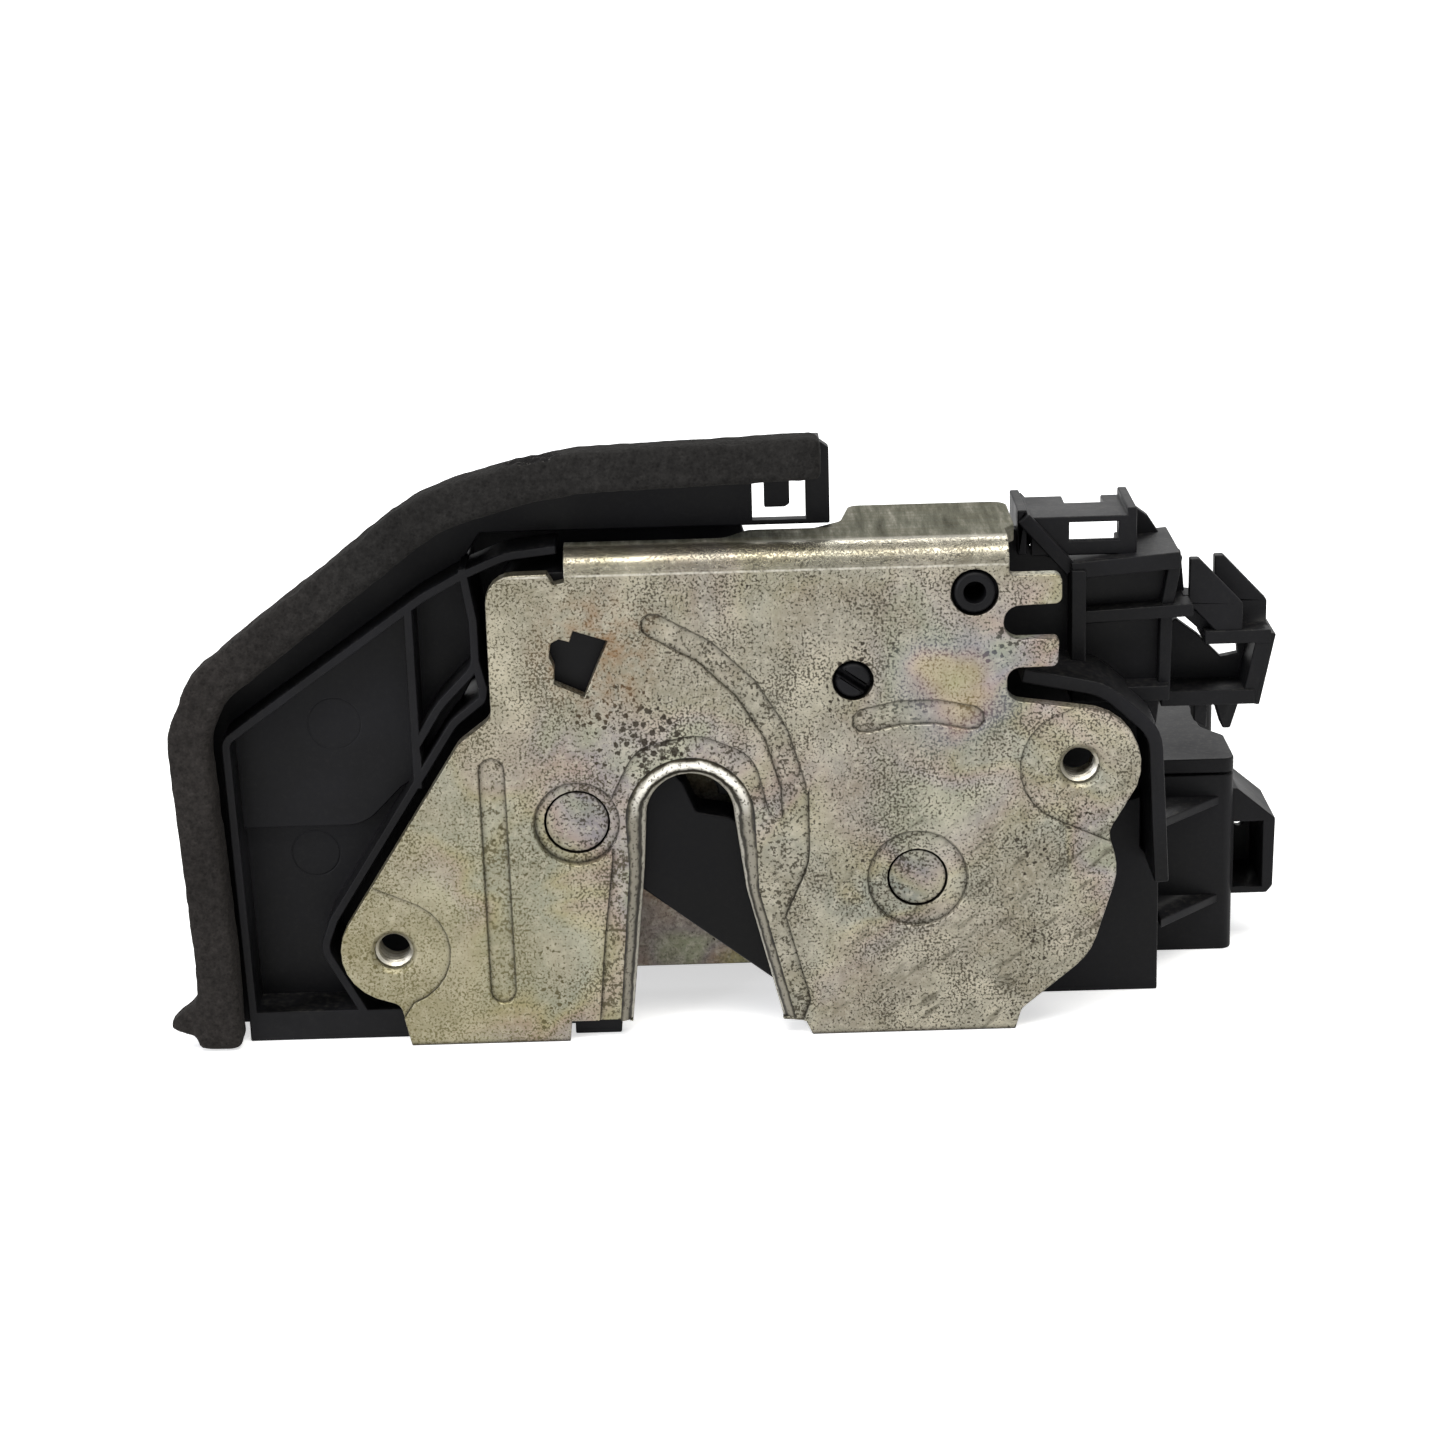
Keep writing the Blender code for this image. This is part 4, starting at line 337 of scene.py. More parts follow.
def front_wear(tree, shader, place, tone, rough):
    """Wear of the front plate: dirt on the flange, a rubbed bend with a painted highlight along the fold
    under it, rust at the window, streaks and a film.
    """
    x, y, z = axes(tree, place)
    # The flange on top stays wet and dirty: darker, greener and streaked from front to back
    depth = remap(tree, y, 2.8 * MM, 4.2 * MM)
    height = remap(tree, z, 17.0 * MM, 19.4 * MM)
    top = calc(tree, "MULTIPLY", depth, height)
    drawn = stretched(tree, place, (1.0, 0.12, 1.0))
    streak = noise_at(tree, drawn, 1.6, 6.0, Roughness=0.7)
    dirt = ramp(tree, streak, [(0.30, "#2A2B23"), (0.50, "#5A5B50"), (0.60, "#77766B"), (0.72, "#A6A398")])
    amount = calc(tree, "MULTIPLY", top, 0.9)
    tone = blend(tree, amount, tone, dirt)
    metal = remap(tree, top, 0.0, 1.0, 0.8, 0.15)
    tree.links.new(metal, shader.inputs["Metallic"])
    gloss = remap(tree, top, 0.0, 1.0, 0.5, 0.08)
    tree.links.new(gloss, shader.inputs["Specular IOR Level"])
    # The bend has been rubbed bright, so it is smoother, with dark streaks along it
    bend = remap(tree, z, 16.4 * MM, 17.4 * MM)
    along = stretched(tree, place, (0.08, 1.0, 1.0))
    along = noise_at(tree, along, 0.9, 5.0, Roughness=0.65)
    along = remap(tree, along, 0.42, 0.62, 0.0, 0.4)
    along = calc(tree, "MULTIPLY", along, bend)
    tone = blend(tree, along, tone, "#55503F")
    rough = add_node(tree, "ShaderNodeMix", {0: bend, 2: rough, 3: 0.25}).outputs[0]
    rough = add_node(tree, "ShaderNodeMix", {0: top, 2: rough, 3: 0.85}).outputs[0]
    # Painted highlight: a thin bright line along the fold under the bend, broken up by the streak noise
    crease_glint = calc(tree, "SUBTRACT", z, CREASE_HEIGHT * MM)
    crease_glint = calc(tree, "ABSOLUTE", crease_glint)
    broken = remap(tree, streak, 0.38, 0.6, 0.1, 0.6)
    crease_glint = remap(tree, crease_glint, 0.06 * MM, 0.2 * MM, 1.0, 0.0)
    crease_glint = calc(tree, "MULTIPLY", crease_glint, broken)
    tone = blend(tree, crease_glint, tone, "#D6D2C6")
    # Rings of chromate film, yellow inside and blue outside, above the bean-shaped groove
    shift = noise_at(tree, place, 9, 3.0, output=1)
    bent = wobbled(tree, place, shift, 0.009)
    away = remap(tree, away_from(tree, bent, FILM_CENTRE), 0.0, FILM_RADIUS * MM)
    rings = ramp(tree, away, [
        (0.0, "#A39A5C"), (0.26, "#A2895F"), (0.42, "#957A82"), (0.58, "#7F8494"), (0.76, "#828E88"),
        (1.0, "#8A8678")])
    amount = remap(tree, away, 0.45, 1.0, 0.30, 0.0)
    tone = blend(tree, amount, tone, rings)
    # Yellower film towards the lower left
    left = remap(tree, x, -4 * MM, -28 * MM)
    low = remap(tree, z, -8 * MM, -30 * MM, 0.1, 0.34)
    amount = calc(tree, "MULTIPLY", left, low)
    tone = blend(tree, amount, tone, "#8E8658")
    # Brown stain that has bled from the cut edges of the window
    far = away_from(tree, place, WINDOW_CENTRE)
    near = remap(tree, far, 3.0 * MM, 10.0 * MM, 0.75, 0.0)
    smear = noise_at(tree, place, 2.8, 6.0, Roughness=0.7)
    smear = remap(tree, smear, 0.42, 0.66)
    smear = calc(tree, "MULTIPLY", smear, near)
    tone = blend(tree, smear, tone, "#7A5A3A")
    # Fine streaks running up to the right, where the plate has rubbed
    turned = add_node(tree, "ShaderNodeMapping",
                      {"Vector": place, "Rotation": (0.0, math.radians(RUB_ANGLE), 0.0)}).outputs[0]
    turned = stretched(tree, turned, (0.22, 1.0, 1.0))
    rub = noise_at(tree, turned, 1.1, 4.0)
    across = remap(tree, x, 10 * MM, 26 * MM)
    down = remap(tree, z, -8 * MM, -22 * MM)
    corner = calc(tree, "MULTIPLY", across, down)
    rub = remap(tree, rub, 0.54, 0.68, 0.0, 0.7)
    rub = calc(tree, "MULTIPLY", rub, corner)
    tone = blend(tree, rub, tone, "#3F3B2F")
    return tone, rough


def rubbed_zinc_with_painted_light(name, colour):
    """Zinc of the rolled lip with its light painted across the roll: from outside in, a dark outer line, grey
    with a painted highlight stripe where the striker rubs, a dark band of painted shade, a bright band of
    painted highlight, a darker inner edge.
    """
    made, tree, shader, place = start_material(name, 0.8, 0.4)
    roll = add_node(tree, "ShaderNodeAttribute", attribute_name="roll").outputs["Fac"]
    cloud = noise_at(tree, place, 1.6, 6.0, Roughness=0.65)
    shift = remap(tree, cloud, 0.3, 0.7, -0.07, 0.07)
    across = calc(tree, "ADD", roll, shift)
    # Painted light across the roll: a dark band of painted shade and a bright band of painted highlight, on
    # grey with a dark outer line
    tone = ramp(tree, across, [
        (0.0, "#17140F"), (0.06, "#3A362C"), (0.13, colour), (0.33, colour), (0.45, "#24211B"),
        (0.56, "#302D25"), (0.64, "#B9B5A8"), (0.78, "#B9B5A8"), (0.95, "#4A463B")])
    # Painted highlight stripe, brightest at the top of the fishmouth; the striker meets the lip there, so it
    # is also smoother there
    height = remap(tree, axes(tree, place)[2], -15.5 * MM, -10.8 * MM, 0.06, 1.0)
    rub = ramp(tree, across, [(0.08, "#000000"), (0.20, "#FFFFFF"), (0.32, "#FFFFFF"), (0.44, "#000000")])
    rub = calc(tree, "MULTIPLY", rub, height)
    tone = blend(tree, rub, tone, "#E4E1D8")
    grains = noise_at(tree, place, 0.4, 3.0)
    pit = remap(tree, grains, 0.57, 0.64, 0.0, 0.8)
    tone = blend(tree, pit, tone, "#2E281D")
    tree.links.new(tone, shader.inputs["Base Color"])
    rough = remap(tree, rub, 0.0, 1.0, 0.6, 0.22)
    tree.links.new(rough, shader.inputs["Roughness"])
    metal = remap(tree, height, 0.0, 1.0, 0.2, 0.85)
    tree.links.new(metal, shader.inputs["Metallic"])
    bump(tree, shader, 0.4, 0.07 * MM, [(grains, 0.5), (pit, -0.8)])
    return made


def drawn_steel(name, code="#9C9A92", roughness=0.4):
    """Plain steel with an oil film: grey, satin, with fine pits and brown clouds."""
    made, tree, shader, place = start_material(name, 0.95, roughness)
    cloud = noise_at(tree, place, 3, 5.0)
    tone = ramp(tree, cloud, [(0.35, "#6B665B"), (0.5, code), (0.7, "#B5B2A8")])
    tree.links.new(tone, shader.inputs["Base Color"])
    grain = noise_at(tree, place, 0.3, 3.0)
    rough = remap(tree, cloud, 0.0, 1.0, roughness - 0.1, roughness + 0.15)
    tree.links.new(rough, shader.inputs["Roughness"])
    bump(tree, shader, 0.3, 0.05 * MM, [(grain, 1.0)])
    return made


def glass_filled_nylon(name, colour, roughness=0.46, dust=0.45, marks=()):
    """Glass filled polyamide moulding: black, satin, grained, with dust on what looks up and pale scuffs."""
    made, tree, shader, place = start_material(name, 0.0, roughness)
    shader.inputs["Specular IOR Level"].default_value = 0.12
    cloud = noise_at(tree, place, 11, 5.0)
    tone = ramp(tree, cloud, [(0.3, times(colour, 0.4)), (0.5, tuple(colour)), (0.75, times(colour, 2.0))])
    facing = add_node(tree, "ShaderNodeNewGeometry").outputs["Normal"]
    upward = remap(tree, axes(tree, facing)[2], 0.3, 0.95, 0.12, 1.0)
    specks = noise_at(tree, place, 0.8, 8.0, Roughness=0.8)
    specks = remap(tree, specks, 0.50, 0.75, 0.0, 1.0)
    settled = calc(tree, "MULTIPLY", specks, upward)
    settled = calc(tree, "MULTIPLY", settled, dust)
    tone = blend(tree, settled, tone, "#55534D")
    tree.links.new(tone, shader.inputs["Base Color"])
    rough = remap(tree, cloud, 0.3, 0.7, roughness - 0.08, roughness + 0.14)
    tree.links.new(rough, shader.inputs["Roughness"])
    grain = noise_at(tree, place, 0.28, 3.0)
    swirl = noise_at(tree, place, 2.6, 2.0)
    heights = [(grain, 0.7), (swirl, 0.5), (settled, 0.6)]
    for x, z, radius in marks:
        # Mark of an ejector pin: a shallow ring
        flat = multiplied(tree, place, (1.0, 0.0, 1.0))
        away = away_from(tree, flat, (x, 0.0, z))
        off = calc(tree, "SUBTRACT", away, radius * MM)
        off = calc(tree, "ABSOLUTE", off)
        ring = remap(tree, off, 0.0, 0.16 * MM, -9.0, 0.0)
        heights.append((ring, 1.0))
    bump(tree, shader, 0.3, 0.05 * MM, heights)
    return made


def open_cell_foam(name, colour):
    """Cut polyurethane foam, black gone grey: matt, full of small open cells, torn here and there."""
    made, tree, shader, place = start_material(name, 0.0, 0.95)
    shader.inputs["Specular IOR Level"].default_value = 0.1
    cells = cells_at(tree, place, 0.5)
    large = cells_at(tree, place, 1.9)
    tuft = noise_at(tree, place, 0.8, 8.0, Roughness=0.75)
    cloud = noise_at(tree, place, 16, 3.0)
    tone = ramp(tree, tuft, [(0.32, times(colour, 0.5)), (0.5, tuple(colour)), (0.72, times(colour, 1.7))])
    # The left leg has faded more than the top
    faded = remap(tree, axes(tree, place)[0], -40 * MM, -62 * MM, 0.0, 0.75)
    tone = blend(tree, faded, tone, multiplied(tree, tone, (1.35, 1.24, 1.20)))
    # Torn places show dark cells with pale crumbs in them
    tear = noise_at(tree, place, 4.5, 3.0)
    spot = away_from(tree, place, (TORN_X, 1.5, TORN_Z))
    spot = remap(tree, spot, 1.5 * MM, 5.5 * MM, 0.3, 0.0)
    tear = calc(tree, "ADD", tear, spot)
    tear = remap(tree, tear, 0.66, 0.72, 0.0, 0.85)
    crumb = noise_at(tree, place, 0.45, 2.0)
    crumb = remap(tree, crumb, 0.60, 0.66)
    inside = blend(tree, crumb, "#0C0B0B", "#4C4A48")
    tone = blend(tree, tear, tone, inside)
    # Darker in the middle of each cell: painted shade in the pores; the slow clouds are uneven tone
    pore = remap(tree, cells, 0.0, 0.4, 0.55, 1.0)
    shade = remap(tree, cloud, 0.3, 0.7, 0.8, 1.15)
    shade = calc(tree, "MULTIPLY", shade, pore)
    tone = shaded(tree, tone, shade)
    tree.links.new(tone, shader.inputs["Base Color"])
    bump(tree, shader, 0.8, 0.2 * MM, [(cells, 0.7), (large, 0.25), (tuft, 0.8), (tear, -1.2)])
    return made


def soft_rubber(name):
    """Moulded rubber: near black and matt."""
    made, tree, shader, place = start_material(name, 0.0, 0.72)
    cloud = noise_at(tree, place, 1.5, 4.0)
    tone = ramp(tree, cloud, [(0.35, "#121212"), (0.65, "#1F1F1E")])
    tree.links.new(tone, shader.inputs["Base Color"])
    bump(tree, shader, 0.3, 0.05 * MM, [(cloud, 1.0)])
    return made


def natural_acetal(name):
    """Unpigmented acetal: milky white and waxy."""
    made, tree, shader, place = start_material(name, 0.0, 0.38)
    shader.inputs["Subsurface Weight"].default_value = 0.15
    shader.inputs["Subsurface Radius"].default_value = (0.002, 0.002, 0.0018)
    cloud = noise_at(tree, place, 4, 3.0)
    tone = ramp(tree, cloud, [(0.3, "#CFCBBE"), (0.7, "#E0DDD2")])
    tree.links.new(tone, shader.inputs["Base Color"])
    bump(tree, shader, 0.15, 0.04 * MM, [(cloud, 1.0)])
    return made


def turned_brass(name):
    """Machined brass with fine tool marks."""
    made, tree, shader, place = start_material(name, 1.0, 0.3)
    drawn = stretched(tree, place, (1.0, 0.1, 0.1))
    marks = noise_at(tree, drawn, 0.25, 2.0)
    tone = ramp(tree, marks, [(0.35, "#B08F4A"), (0.65, "#D0B068")])
    tree.links.new(tone, shader.inputs["Base Color"])
    bump(tree, shader, 0.2, 0.03 * MM, [(marks, 1.0)])
    return made


# Pieces

def settings():
    """The user's sizes and colours."""
    return bpy.context.scene.latch_settings


def place_piece(obj, nodes, look):
    """Give a piece its material and its body, and hide the CAD nodes that it stands for."""
    obj.data.materials.clear()
    obj.data.materials.append(look)
    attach(obj, BODY_OF[nodes[0]])
    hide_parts(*nodes)
    return obj


def object_from(name, bm):
    """Object at the origin from a bmesh."""
    mesh = bpy.data.meshes.new(name)
    bm.to_mesh(mesh)
    bm.free()
    obj = bpy.data.objects.new(name, mesh)
    bpy.context.scene.collection.objects.link(obj)
    return obj


def merged_copy(node):
    """The triangles of a CAD node, joined into one skin, with the flat ones joined into whole faces."""
    bm = bmesh.new()
    bm.from_mesh(frame["nodes"][node].data)
    bmesh.ops.remove_doubles(bm, verts=bm.verts, dist=0.002 * MM)
    bmesh.ops.dissolve_degenerate(bm, edges=bm.edges, dist=0.02 * MM)
    bmesh.ops.dissolve_limit(bm, angle_limit=math.radians(0.5), verts=bm.verts, edges=bm.edges)
    bmesh.ops.recalc_face_normals(bm, faces=bm.faces)
    return bm


def is_sliver(face):
    """A face too narrow for its normal to mean anything."""
    return face.calc_area() < SLIVER_WIDTH * MM * max(edge.calc_length() for edge in face.edges)


def soft_edged(node, look, width, angle=ROUNDED_TURN, segments=2, share=None, reshape=None):
    """Copy of a CAD node with its outward edges rounded.

    share(edge) gives an edge's part of the width, and reshape(bm) changes the copy beforehand.
    """
    bm = merged_copy(node)
    if reshape:
        reshape(bm)
    weight = bm.edges.layers.float.new("bevel_weight_edge")
    for edge in bm.edges:
        narrow = any(is_sliver(face) for face in edge.link_faces)
        turn = edge.calc_face_angle_signed(0.0)
        if turn > math.radians(angle) and not narrow:
            edge[weight] = share(edge) if share else 1.0
        elif abs(turn) > math.radians(SHARP_TURN_AT_SLIVERS if narrow else SHARP_TURN):
            edge.smooth = False
    obj = object_from(node + "_finished", bm)
    obj.data.shade_smooth()
    bevel = obj.modifiers.new("Edges", "BEVEL")
    bevel.width = width
    bevel.segments = segments
    bevel.limit_method = "WEIGHT"
    bevel.use_clamp_overlap = False
    bevel.loop_slide = False
    normals = obj.modifiers.new("Normals", "WEIGHTED_NORMAL")
    normals.keep_sharp = True
    normals.weight = 90
    return place_piece(obj, [node], look)


def turned_piece(name, profile, centre, nodes, look):
    """Piece spun about an axis along Y through a centre; the profile is (radius, depth) in millimetres."""
    bm = bmesh.new()
    axis = Vector((centre[0], 0.0, centre[1])) * MM
    points = [bm.verts.new(axis + Vector((r, y, 0.0)) * MM) for r, y in profile]
    edges = [bm.edges.new(pair) for pair in zip(points, points[1:])]
    bmesh.ops.spin(bm, geom=points + edges, cent=axis, axis=(0, 1, 0), angle=math.tau, steps=64,
                   use_merge=True)
    bmesh.ops.remove_doubles(bm, verts=bm.verts, dist=0.001 * MM)
    bmesh.ops.holes_fill(bm, edges=[e for e in bm.edges if e.is_boundary])
    bmesh.ops.recalc_face_normals(bm, faces=bm.faces)
    obj = object_from(name, bm)
    obj.data.shade_smooth()
    obj.data.set_sharp_from_angle(angle=math.radians(40))
    return place_piece(obj, nodes, look)


class LATCH_OT_stage(bpy.types.Operator):
    """Make the floor, the backdrop, the lamps and the camera"""

    bl_idname = "latch.stage"
    bl_label = "Stage"

    def execute(self, context):
        scene = context.scene
        # A hair below the foot of the latch
        floor_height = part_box("actuator_housing")[0].z - 0.02 * MM
        bm = bmesh.new()
        bmesh.ops.create_grid(bm, x_segments=1, y_segments=1, size=6.0,
                              matrix=Matrix.Translation((0.0, 0.0, floor_height)))
        floor = object_from("floor", bm)
        floor.data.materials.append(self.floor_material())
        world = bpy.data.worlds.new("white studio")
        scene.world = world
        world.use_nodes = True
        tree = world.node_tree
        tree.nodes["Background"].inputs["Strength"].default_value = 0.3
        tree.nodes["Background"].inputs["Color"].default_value = linear("#F4F6FA")
        seen = self.seen_directly(tree)
        white = add_node(tree, "ShaderNodeBackground", {"Color": "#FFFFFF", "Strength": 1.0})
        mixed = add_node(tree, "ShaderNodeMixShader", {0: seen, 1: tree.nodes["Background"].outputs[0],
                                                       2: white.outputs[0]})
        tree.links.new(mixed.outputs[0], tree.nodes["World Output"].inputs["Surface"])
        self.lamp("key_lamp", (0.05, -0.42, 0.95), (1.3, 0.4), 11.2, "#FFFDF8")
        self.lamp("fill_lamp", (-0.75, -0.6, 0.35), (0.5, 0.5), 4.8, "#F3F6FF")
        self.lamp("back_lamp", (0.1, 0.75, 0.8), (0.5, 0.5), 4.5, "#FFFFFF")
        self.camera(scene)
        scene.view_settings.view_transform = "Standard"
        return {"FINISHED"}

    def seen_directly(self, tree):
        """1 for rays from the camera, from gloss and through glass, else 0."""
        path = add_node(tree, "ShaderNodeLightPath")
        seen = calc(tree, "MAXIMUM", path.outputs["Is Camera Ray"], path.outputs["Is Glossy Ray"])
        return calc(tree, "MAXIMUM", seen, path.outputs["Is Transmission Ray"])

    def floor_material(self):
        """Pale table: white to the camera, keeping the shadow of the latch."""
        made, tree, shader, place = start_material("white table", 0.0, 0.9)
        shader.inputs["Base Color"].default_value = linear("#F2F2F2")
        # The lamps don't reach far, so the table glows more there
        away = add_node(tree, "ShaderNodeVectorMath", {0: place}, operation="LENGTH").outputs["Value"]
        glow = remap(tree, away, 0.3, 1.2, 0.6, 0.78)
        glow = calc(tree, "MULTIPLY", self.seen_directly(tree), glow)
        light = add_node(tree, "ShaderNodeEmission", {"Color": "#FFFFFF", "Strength": glow})
        both = add_node(tree, "ShaderNodeAddShader", {0: shader.outputs[0], 1: light.outputs[0]})
        tree.links.new(both.outputs[0], tree.nodes["Material Output"].inputs["Surface"])
        return made

    def lamp(self, name, place, size, power, code):
        """Oblong area lamp that looks at the latch."""
        data = bpy.data.lights.new(name, "AREA")
        data.shape = "RECTANGLE"
        data.size, data.size_y = size
        data.energy = power
        data.color = linear(code)[:3]
        obj = bpy.data.objects.new(name, data)
        obj.location = place
        obj.rotation_euler = (-Vector(place)).to_track_quat("-Z", "Y").to_euler()
        bpy.context.scene.collection.objects.link(obj)

    def camera(self, scene):
        """Camera of the photograph: above the plate's normal, and rolled a little."""
        data = bpy.data.cameras.new("photo_camera")
        data.lens = CAMERA_LENS
        data.sensor_width = 36.0
        data.clip_start = 0.01
        obj = bpy.data.objects.new("photo_camera", data)
        aim = Vector(CAMERA_AIM) * MM
        elevation = math.radians(CAMERA_ELEVATION)
        away = Vector((0.0, -math.cos(elevation), math.sin(elevation))) * CAMERA_DISTANCE * MM
        turn = (-away).to_track_quat("-Z", "Y").to_matrix().to_4x4()
        roll = Matrix.Rotation(math.radians(CAMERA_ROLL), 4, "Z")
        obj.matrix_world = Matrix.Translation(aim + away) @ turn @ roll
        scene.collection.objects.link(obj)
        scene.camera = obj


class LATCH_OT_plates(bpy.types.Operator):
    """Make the lock plate with its threads, and the back plate"""

    bl_idname = "latch.plates"
    bl_label = "Plates"

    def execute(self, context):
        sizes = settings()
        zinc = zinc_plated_steel("zinc plated steel", sizes.zinc_colour, front=True, shade=0.97)
        soft_edged("lock_plate", zinc, sizes.plate_edge, angle=30, share=self.plate_share,
                   reshape=self.reshape)
        # Painted shade: the back plate sits in the shadow of the lock plate, so it gets a darker copy of the
        # zinc (shade 0.68)
        behind = zinc_plated_steel("zinc plated steel behind, darkened as painted shade", linear("#6B6547"), pitting=0.35, shade=0.68)
        soft_edged("back_plate", behind, sizes.plate_edge)
        lip = self.rolled_lip()
        lip.data.materials.append(rubbed_zinc_with_painted_light("rubbed zinc of the lip with painted light", "#746F61"))
        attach(lip, LOCK_BODY)
        for name, ear in (("left_thread", LEFT_EAR), ("right_thread", RIGHT_EAR)):
            thread = self.thread(name, ear, sizes.thread_pitch)
            thread.data.materials.append(drawn_steel("cut steel " + name, "#BDB9AD", 0.3))
            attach(thread, LOCK_BODY)
        return {"FINISHED"}

    def plate_share(self, edge):
        """Part of the edge radius: none where the rolled lip lies, full in front, half behind."""
        depths = [vert.co.y / MM for vert in edge.verts]
        middle = (edge.verts[0].co + edge.verts[1].co) / 2 / MM
        if min(depths) > 0.42 and max(depths) < 3.2 and -12.0 < middle.x < 13.0 and middle.z < -6.0:
            return 0.0
        return 1.0 if max(depths) < 0.6 else 0.5

    def width_at(self, height):
        """Width of the lip in millimetres: full round the top, narrower down the legs."""
        down = min(max((ARCH_Z - height) / LIP_TAPER_HEIGHT, 0.0), 1.0)
        return settings().lip_width / MM * (1.0 - LIP_TAPER * down)

    def reshape(self, bm):
        """Small changes to the copy of the lock plate, before its edges are rounded."""
        self.close_slit(bm)
        self.open_flare(bm)

    def close_slit(self, bm):
        """Close the tapering slit, up to 0.3 mm wide, that the solid has under the left half of its bend."""
        left, right, low, high = -15.3 * MM, 5.32 * MM, 15.8 * MM, 16.1 * MM
        near = 0.05 * MM
        for vert in bm.verts:
            if abs(vert.co.x - left) < near and abs(vert.co.z - low) < near:
                vert.co.z = high
        bmesh.ops.remove_doubles(bm, verts=bm.verts, dist=0.01 * MM)
        inner = [face for face in bm.faces
                 if all(abs(vert.co.z - high) < near and vert.co.x < right + near for vert in face.verts)]
        bmesh.ops.delete(bm, geom=inner, context="FACES_ONLY")
        bmesh.ops.delete(bm, geom=[edge for edge in bm.edges if edge.is_wire], context="EDGES")

    def open_flare(self, bm):
        """Make room for the rolled lip: the flare's outer ring goes outwards, its inner ring further back."""
        path = [Vector((x, 0.0, z)) * MM for x, z in LEFT_LEG + RIGHT_LEG]
        middle = Vector((ARCH_X, 0.0, ARCH_Z)) * MM
        for vert in bm.verts:
            flat = Vector((vert.co.x, 0.0, vert.co.z))
            if flat.z > middle.z:
                near = middle + (flat - middle).normalized() * ARCH_RADIUS * MM
            else:
                runs = (path[:2], path[1:3], path[3:5], path[4:])
                near = min((self.nearest(flat, *run) for run in runs),
                           key=lambda point: (point - flat).length)
            away = flat - near
            depth = vert.co.y / MM
            if away.length < 0.06 * MM and 1.5 < depth < 1.7:
                # Inner ring, 1.6 mm deep on the path of the fishmouth
                vert.co.y = 2.45 * MM
            elif 0.9 * MM < away.length < 1.35 * MM and 0.4 < depth < 0.56:
                # Outer ring, about 1.1 mm outside the path and 0.5 mm deep
                vert.co += away.normalized() * (self.width_at(flat.z / MM) * MM - away.length)

    def nearest(self, point, start, end):
        """Point of a leg of the fishmouth next to a place on the plate."""
        along = end - start
        part = min(max((point - start).dot(along) / along.length_squared, 0.0), 1.0)
        return start + along * part

    def rolled_lip(self):
        """Quarter round along the fishmouth: swept up one leg, round the top and down the other."""
        turns = [math.radians(90.0 * k / LIP_STEPS) for k in range(LIP_STEPS + 1)]
        section = [(1 - math.sin(t), LIP_FRONT + LIP_ROLL * (1 - math.cos(t))) for t in turns]
        section += [(0.0, LIP_BACK), (0.4, LIP_BACK), (1.0, LIP_FRONT + 0.6)]
        bm = bmesh.new()
        roll = bm.verts.layers.float.new("roll")
        x, z = LEFT_LEG[0]
        width = self.width_at(z)
        ring = bm.faces.new([bm.verts.new(Vector((x + LIP_GAP - d * width, y, z)) * MM)
                             for d, y in section])
        for k, vert in enumerate(ring.verts):
            vert[roll] = min(k, LIP_STEPS) / LIP_STEPS if k < LIP_STEPS + 2 else 0.0
        ring = self.sweep(bm, ring, LEFT_LEG, 1.0)
        middle = Vector((ARCH_X, 0.0, ARCH_Z)) * MM
        made = bmesh.ops.spin(bm, geom=[ring], cent=middle, axis=(0, 1, 0), angle=math.pi,
                              steps=48)["geom_last"]
        ring = next(item for item in made if isinstance(item, bmesh.types.BMFace))
        self.sweep(bm, ring, RIGHT_LEG, -1.0)
        bmesh.ops.remove_doubles(bm, verts=bm.verts, dist=0.001 * MM)
        bmesh.ops.recalc_face_normals(bm, faces=bm.faces)
        obj = object_from("rolled_lip", bm)
        obj.data.shade_smooth()
        obj.data.set_sharp_from_angle(angle=math.radians(50))
        return obj

    def sweep(self, bm, ring, leg, side):
        """Draw the section along a leg, narrower or wider as the lip is there."""
        for (x, z), (far_x, far_z) in zip(leg, leg[1:]):
            made = bmesh.ops.extrude_face_region(bm, geom=[ring])["geom"]
            ring = next(item for item in made if isinstance(item, bmesh.types.BMFace))
            bmesh.ops.translate(bm, verts=ring.verts[:], vec=Vector((far_x - x, 0.0, far_z - z)) * MM)
            wider = self.width_at(far_z) / self.width_at(z)
            pivot = Matrix.Translation(Vector((-(far_x + LIP_GAP * side), 0.0, 0.0)) * MM)
            bmesh.ops.scale(bm, verts=ring.verts[:], vec=(wider, 1.0, 1.0), space=pivot)
        return ring

    def thread(self, name, ear, pitch):
        """Screw thread inside an ear: a ridge swept round the bore and back."""
        bm = bmesh.new()
        centre = Vector((ear[0], 0.0, ear[1])) * MM
        ridge = [(BORE_RADIUS, -0.42), (CREST_RADIUS, -0.05), (CREST_RADIUS, 0.05), (BORE_RADIUS, 0.42)]
        face = bm.faces.new([bm.verts.new(centre + Vector((r, THREAD_START + y, 0.0)) * MM)
                             for r, y in ridge])
        bmesh.ops.spin(bm, geom=[face] + face.edges[:] + face.verts[:], cent=centre, axis=(0, 1, 0),
                       angle=-math.tau * THREAD_TURNS, dvec=Vector((0.0, pitch / TURN_STEPS, 0.0)),
                       steps=TURN_STEPS * THREAD_TURNS)
        bmesh.ops.recalc_face_normals(bm, faces=bm.faces)
        obj = object_from(name, bm)
        obj.data.shade_smooth()
        obj.data.set_sharp_from_angle(angle=math.radians(30))
        return obj


